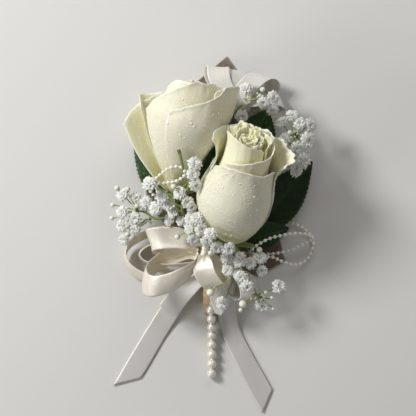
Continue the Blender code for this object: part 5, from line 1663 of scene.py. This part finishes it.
def dew_from_above(shape, draws, name, count):
    """Drops on the upper side of a leaf or a ribbon."""
    tree, points = surface_tree(name)
    low = [min(p[axis] for p in points) for axis in range(2)]
    high = [max(p[axis] for p in points) for axis in range(2)]
    leafy = 1.0 if "leaf" in name else 0.0
    for _ in range(count):
        start = Vector((draws.uniform(low[0], high[0]), draws.uniform(low[1], high[1]), 90.0))
        place, normal, _, _ = tree.ray_cast(start, Vector((0, 0, -1)))
        size = 0.18 + 0.32 * draws.random() ** 2
        if place is not None and normal.z > 0.3:
            drop(shape, place, normal, size, leafy=leafy)


# Operators


class CORSAGE_OT_finishes(bpy.types.Operator):
    """Make the shader groups and every material"""

    bl_idname = "corsage.finishes"
    bl_label = "Finishes"

    def execute(self, context):
        scene = context.scene
        make_growth_lines()
        make_surface_tone()
        make_ribbon_weave()
        petal_finish(scene.corsage_rose)
        leaf_finish(scene.corsage_green)
        calyx_finish(scene.corsage_green)
        floret_finish(scene.corsage_spray)
        satin_finish(scene.corsage_ribbon)
        organza_finish(scene.corsage_ribbon)
        taupe_finish(scene.corsage_ribbon)
        tape_finish()
        pearl_finish(scene.corsage_bead)
        dew_finish()
        return {"FINISHED"}


class CORSAGE_OT_roses(bpy.types.Operator):
    """Build the petals of both roses"""

    bl_idname = "corsage.roses"
    bl_label = "Roses"

    def execute(self, context):
        settings = context.scene.corsage_rose
        thickness = settings.petal_thickness / MM
        upper = rose_shape(UPPER_ROSE, thickness, settings.steps_up)
        upper.piece("rose_upper_bloom", "rose_petal", "petal", "rose_upper_petals")
        lower = rose_shape(LOWER_ROSE, thickness, settings.steps_up)
        lower.piece("rose_lower_bloom", "rose_petal", "petal", "rose_lower_petals")
        return {"FINISHED"}


class CORSAGE_OT_calyxes(bpy.types.Operator):
    """Build the hip and sepals of both roses"""

    bl_idname = "corsage.calyxes"
    bl_label = "Calyxes"

    def execute(self, context):
        upper = calyx_shape(UPPER_ROSE, UPPER_SEPALS)
        upper.piece("rose_upper_sepals", "calyx_green", "calyx", "rose_upper_calyx")
        lower = calyx_shape(LOWER_ROSE, LOWER_SEPALS)
        lower.piece("rose_lower_sepals", "calyx_green", "calyx", "rose_lower_calyx")
        return {"FINISHED"}


class CORSAGE_OT_leaves(bpy.types.Operator):
    """Build the toothed leaves"""

    bl_idname = "corsage.leaves"
    bl_label = "Leaves"

    def execute(self, context):
        thickness = context.scene.corsage_green.leaf_thickness / MM
        for name, values in LEAVES.items():
            shape = leaf_shape(*values, thickness)
            shape.piece("rose_" + name, "rose_leaf", "leaf", name)
        return {"FINISHED"}


class CORSAGE_OT_gypsophila(bpy.types.Operator):
    """Build the gypsophila sprays, their stems and the cut stalk"""

    bl_idname = "corsage.gypsophila"
    bl_label = "Gypsophila"

    def execute(self, context):
        settings = context.scene.corsage_spray
        bloom, bud = settings.bloom_radius / MM, settings.bud_radius / MM
        draws = random.Random(SEED)
        for name, (stalk, florets, buds) in SPRAYS.items():
            white, green = spray_shapes(stalk, florets, buds, draws, bloom, bud)
            if name == "gypsophila_upper":
                twig(green, CUT_STALK, 0.55, 0.95, sides=12, steps=8, dry_end=1.0)
            white.piece(name + "_blooms", "floret_white", "floret", name)
            green.piece(name + "_stems", "calyx_green", "calyx", name)
        return {"FINISHED"}


class CORSAGE_OT_satin(bpy.types.Operator):
    """Build the satin bow and its two tails"""

    bl_idname = "corsage.satin"
    bl_label = "Satin ribbon"

    def execute(self, context):
        thickness = context.scene.corsage_ribbon.thickness / MM
        for name, values in SATIN_LOOPS.items():
            rows = loop_rows(*values)
            shape = ribbon_shape(rows, thickness, crown=0.7)
            obj = shape.piece(name, "satin_cream", "satin", "satin_bow")
        left = strip_rows(TAIL_LEFT_UPPER) + strip_rows(TAIL_LEFT_LOWER)
        right = strip_rows(TAIL_RIGHT)
        for node, rows in (("satin_tail_left", left), ("satin_tail_right", right)):
            # cool=1.0 marks the tails, whose satin takes a painted greyer shade
            shape = ribbon_shape(rows, thickness, pleat=0.0, loop=False, cool=1.0)
            obj = shape.piece(node + "_ribbon", "satin_cream", "satin", node)
        knot_shape().piece("satin_knot", "satin_cream", "satin", "satin_bow")
        return {"FINISHED"}


class CORSAGE_OT_organza(bpy.types.Operator):
    """Build the sheer ribbon's loops, its end and its ties"""

    bl_idname = "corsage.organza"
    bl_label = "Organza ribbon"

    def execute(self, context):
        thickness = 0.7 * context.scene.corsage_ribbon.thickness / MM
        for name, values in ORGANZA_LOOPS.items():
            rows = loop_rows(*values)
            node = "organza_low" if name == "organza_loop_low" else "organza_top"
            shape = ribbon_shape(rows, thickness, crown=0.2, pleat=0.3)
            obj = shape.piece(name, "organza_sheer", "organza", node)
        rows = strip_rows(ORGANZA_END)
        shape = ribbon_shape(rows, thickness, pleat=0.0, loop=False)
        obj = shape.piece("organza_end", "organza_sheer", "organza", "organza_low")
        top = tie_shape(TOP_TIE, (0.2, 1.0, 0.0))
        top.piece("organza_tie_top", "organza_sheer", "organza", "organza_top")
        low = tie_shape(LOW_TIE, (-0.4, 1.0, 0.0))
        low.piece("organza_tie_low", "organza_sheer", "organza", "organza_low")
        return {"FINISHED"}


class CORSAGE_OT_backing(bpy.types.Operator):
    """Build the flat taupe ribbon under everything"""

    bl_idname = "corsage.backing"
    bl_label = "Backing ribbon"

    def execute(self, context):
        mesh = backing_mesh()
        mesh.materials.append(bpy.data.materials["taupe_ribbon"])
        obj = link_object("taupe_backing", mesh)
        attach(obj, "root")
        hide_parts("backing_ribbon")
        return {"FINISHED"}


class CORSAGE_OT_stems(bpy.types.Operator):
    """Build the taped handle and the taped wires"""

    bl_idname = "corsage.stems"
    bl_label = "Taped stems"

    def execute(self, context):
        shape = Shape()
        wrapped_tube(shape, [p for p, r in HANDLE], [r for p, r in HANDLE], sides=36, pitch=5.2, ridge=0.28)
        way = rose_axis(UPPER_ROSE)
        end = Vector(UPPER_ROSE["place"]) - way * HIP_DEPTH
        upper = [(0, -12, 6), (-8, -4, 5), (-15, 3, 6.4), end - way * 6, end - way * 3, end]
        way = rose_axis(LOWER_ROSE)
        end = Vector(LOWER_ROSE["place"]) - way * HIP_DEPTH
        lower = [(0, -14, 6), (4, -14, 7.5), end - way * 3, end]
        for points in (upper, lower):
            wrapped_tube(shape, points, [1.6, 1.4], sides=16, pitch=4.0, ridge=0.12)
        for points in THIN_WIRES:
            wrapped_tube(shape, points, [0.85, 0.6], sides=10, pitch=3.0, ridge=0.1)
        shape.piece("taped_handle", "floral_tape", "tape", "taped_stems")
        return {"FINISHED"}


class CORSAGE_OT_beads(bpy.types.Operator):
    """Build the pearl drop and the three bead strings"""

    bl_idname = "corsage.beads"
    bl_label = "Pearls and beads"

    def execute(self, context):
        settings = context.scene.corsage_bead
        pearl, bead = settings.pearl_radius / MM, settings.bead_radius / MM
        for name, route, radius, strung, end, node in (
            ("pearl_string", PEARL_ROUTE, pearl, PEARLS, "bare", "pearl_drop"),
            ("bead_string_left", BEADS_LEFT, bead, BEADS, "object", "beads_left"),
            ("bead_string_upper", BEADS_UPPER, bead, BEADS, "object", "beads_right_upper"),
            ("bead_string_lower", BEADS_LOWER, bead, BEADS, "object", "beads_right_lower"),
        ):
            shape, path = bead_string(route, radius, bare_end=end == "bare", **strung)
            obj = shape.piece(name, "pearl_bead", "pearl", node)
        return {"FINISHED"}


class CORSAGE_OT_dew(bpy.types.Operator):
    """Scatter drops of water over the roses, three leaves and the bow"""

    bl_idname = "corsage.dew"
    bl_label = "Dew"

    def execute(self, context):
        draws = random.Random(SEED + 1)
        shape = Shape()
        count = context.scene.corsage_rose.dew
        dew_round(shape, draws, UPPER_ROSE, "rose_upper_bloom", 54.0, count)
        dew_round(shape, draws, LOWER_ROSE, "rose_lower_bloom", 50.0, count)
        for name, count in DEW_BELOW.items():
            dew_from_above(shape, draws, name, count)
        shape.piece("dew_drops", "dew_water", "petal")
        return {"FINISHED"}


# Lights: place, width of the disk and power
LIGHTS = {
    "key_light": ((-0.62, 0.42, 0.62), 0.3, 7.2),
    "side_light": ((-0.85, -0.3, 0.5), 0.3, 1.7),
    "fill_light": ((0.7, -0.35, 0.7), 0.8, 0.4),
    "back_light": ((0.25, 0.8, 0.5), 0.5, 1.6),
}
LIGHT_AIM = Vector((0.0, 0.01, 0.02))
FLOOR_HALF = 4.0
FLOOR_DROP = 0.0003
SKY = (1.0, 0.99, 0.97, 1.0)
SKY_STRENGTH = 0.19


class CORSAGE_OT_stage(bpy.types.Operator):
    """Make the floor, the studio light and the camera"""

    bl_idname = "corsage.stage"
    bl_label = "Floor, light and camera"

    def execute(self, context):
        settings = context.scene.corsage_stage
        mesh = bpy.data.meshes.new("studio_floor")
        far = FLOOR_HALF
        mesh.from_pydata([(-far, -far, 0), (far, -far, 0), (far, far, 0), (-far, far, 0)], [], [(0, 1, 2, 3)])
        graph = Finish("pale_floor", 0.85)
        patches = graph.noise(graph.here(), 6.0)
        graph.feed(graph.shader.inputs["Base Color"], graph.mix(patches, settings.floor, (0.70, 0.69, 0.67)))
        mesh.materials.append(graph.material)
        link_object("studio_floor", mesh, (0.0, 0.0, -FLOOR_DROP))
        world = bpy.data.worlds.new("studio")
        world.use_nodes = True
        world.node_tree.nodes["Background"].inputs["Color"].default_value = SKY
        world.node_tree.nodes["Background"].inputs["Strength"].default_value = SKY_STRENGTH
        context.scene.world = world
        context.scene.view_settings.view_transform = "Standard"
        for name, (place, size, power) in LIGHTS.items():
            light = bpy.data.lights.new(name, "AREA")
            light.shape = "DISK"
            light.size = size
            light.energy = power
            lamp = link_object(name, light, place)
            lamp.rotation_euler = (LIGHT_AIM - Vector(place)).to_track_quat("-Z", "Y").to_euler()
        camera = bpy.data.cameras.new("camera")
        camera.sensor_width = 36.0
        camera.lens = camera.sensor_width * settings.camera_height / settings.view_width
        camera.clip_start, camera.clip_end = 0.05, 50.0
        context.scene.camera = link_object("camera", camera, (-0.0025, 0.0135, 0.02 + settings.camera_height))
        return {"FINISHED"}


OPERATORS = [
    CORSAGE_OT_finishes,
    CORSAGE_OT_stage,
    CORSAGE_OT_roses,
    CORSAGE_OT_calyxes,
    CORSAGE_OT_leaves,
    CORSAGE_OT_gypsophila,
    CORSAGE_OT_satin,
    CORSAGE_OT_organza,
    CORSAGE_OT_backing,
    CORSAGE_OT_stems,
    CORSAGE_OT_beads,
    CORSAGE_OT_dew,
]


class CORSAGE_PT_sidebar(bpy.types.Panel):
    """Lists the corsage's pieces and their settings"""

    bl_idname = "CORSAGE_PT_sidebar"
    bl_label = "Corsage"
    bl_space_type = "VIEW_3D"
    bl_region_type = "UI"
    bl_category = "Corsage"

    def draw(self, context):
        for operator in OPERATORS:
            self.layout.operator(operator.bl_idname)
        for name, group in SETTINGS.items():
            box = self.layout.box()
            box.label(text=group.__doc__)
            for key in group.__annotations__:
                box.prop(getattr(context.scene, name), key)


def register():
    """Register the settings, the operators and the panel."""
    for name, group in SETTINGS.items():
        bpy.utils.register_class(group)
        setattr(bpy.types.Scene, name, bpy.props.PointerProperty(type=group))
    for operator in OPERATORS:
        bpy.utils.register_class(operator)
    bpy.utils.register_class(CORSAGE_PT_sidebar)


def unregister():
    """Take them out again."""
    bpy.utils.unregister_class(CORSAGE_PT_sidebar)
    for operator in reversed(OPERATORS):
        bpy.utils.unregister_class(operator)
    for name, group in SETTINGS.items():
        delattr(bpy.types.Scene, name)
        bpy.utils.unregister_class(group)


def main():
    """Register, and build every piece in order."""
    register()
    for operator in OPERATORS:
        call = operator.bl_idname.split(".")[1]
        getattr(bpy.ops.corsage, call)()
    bpy.context.view_layer.update()


if __name__ == "__main__":
    main()
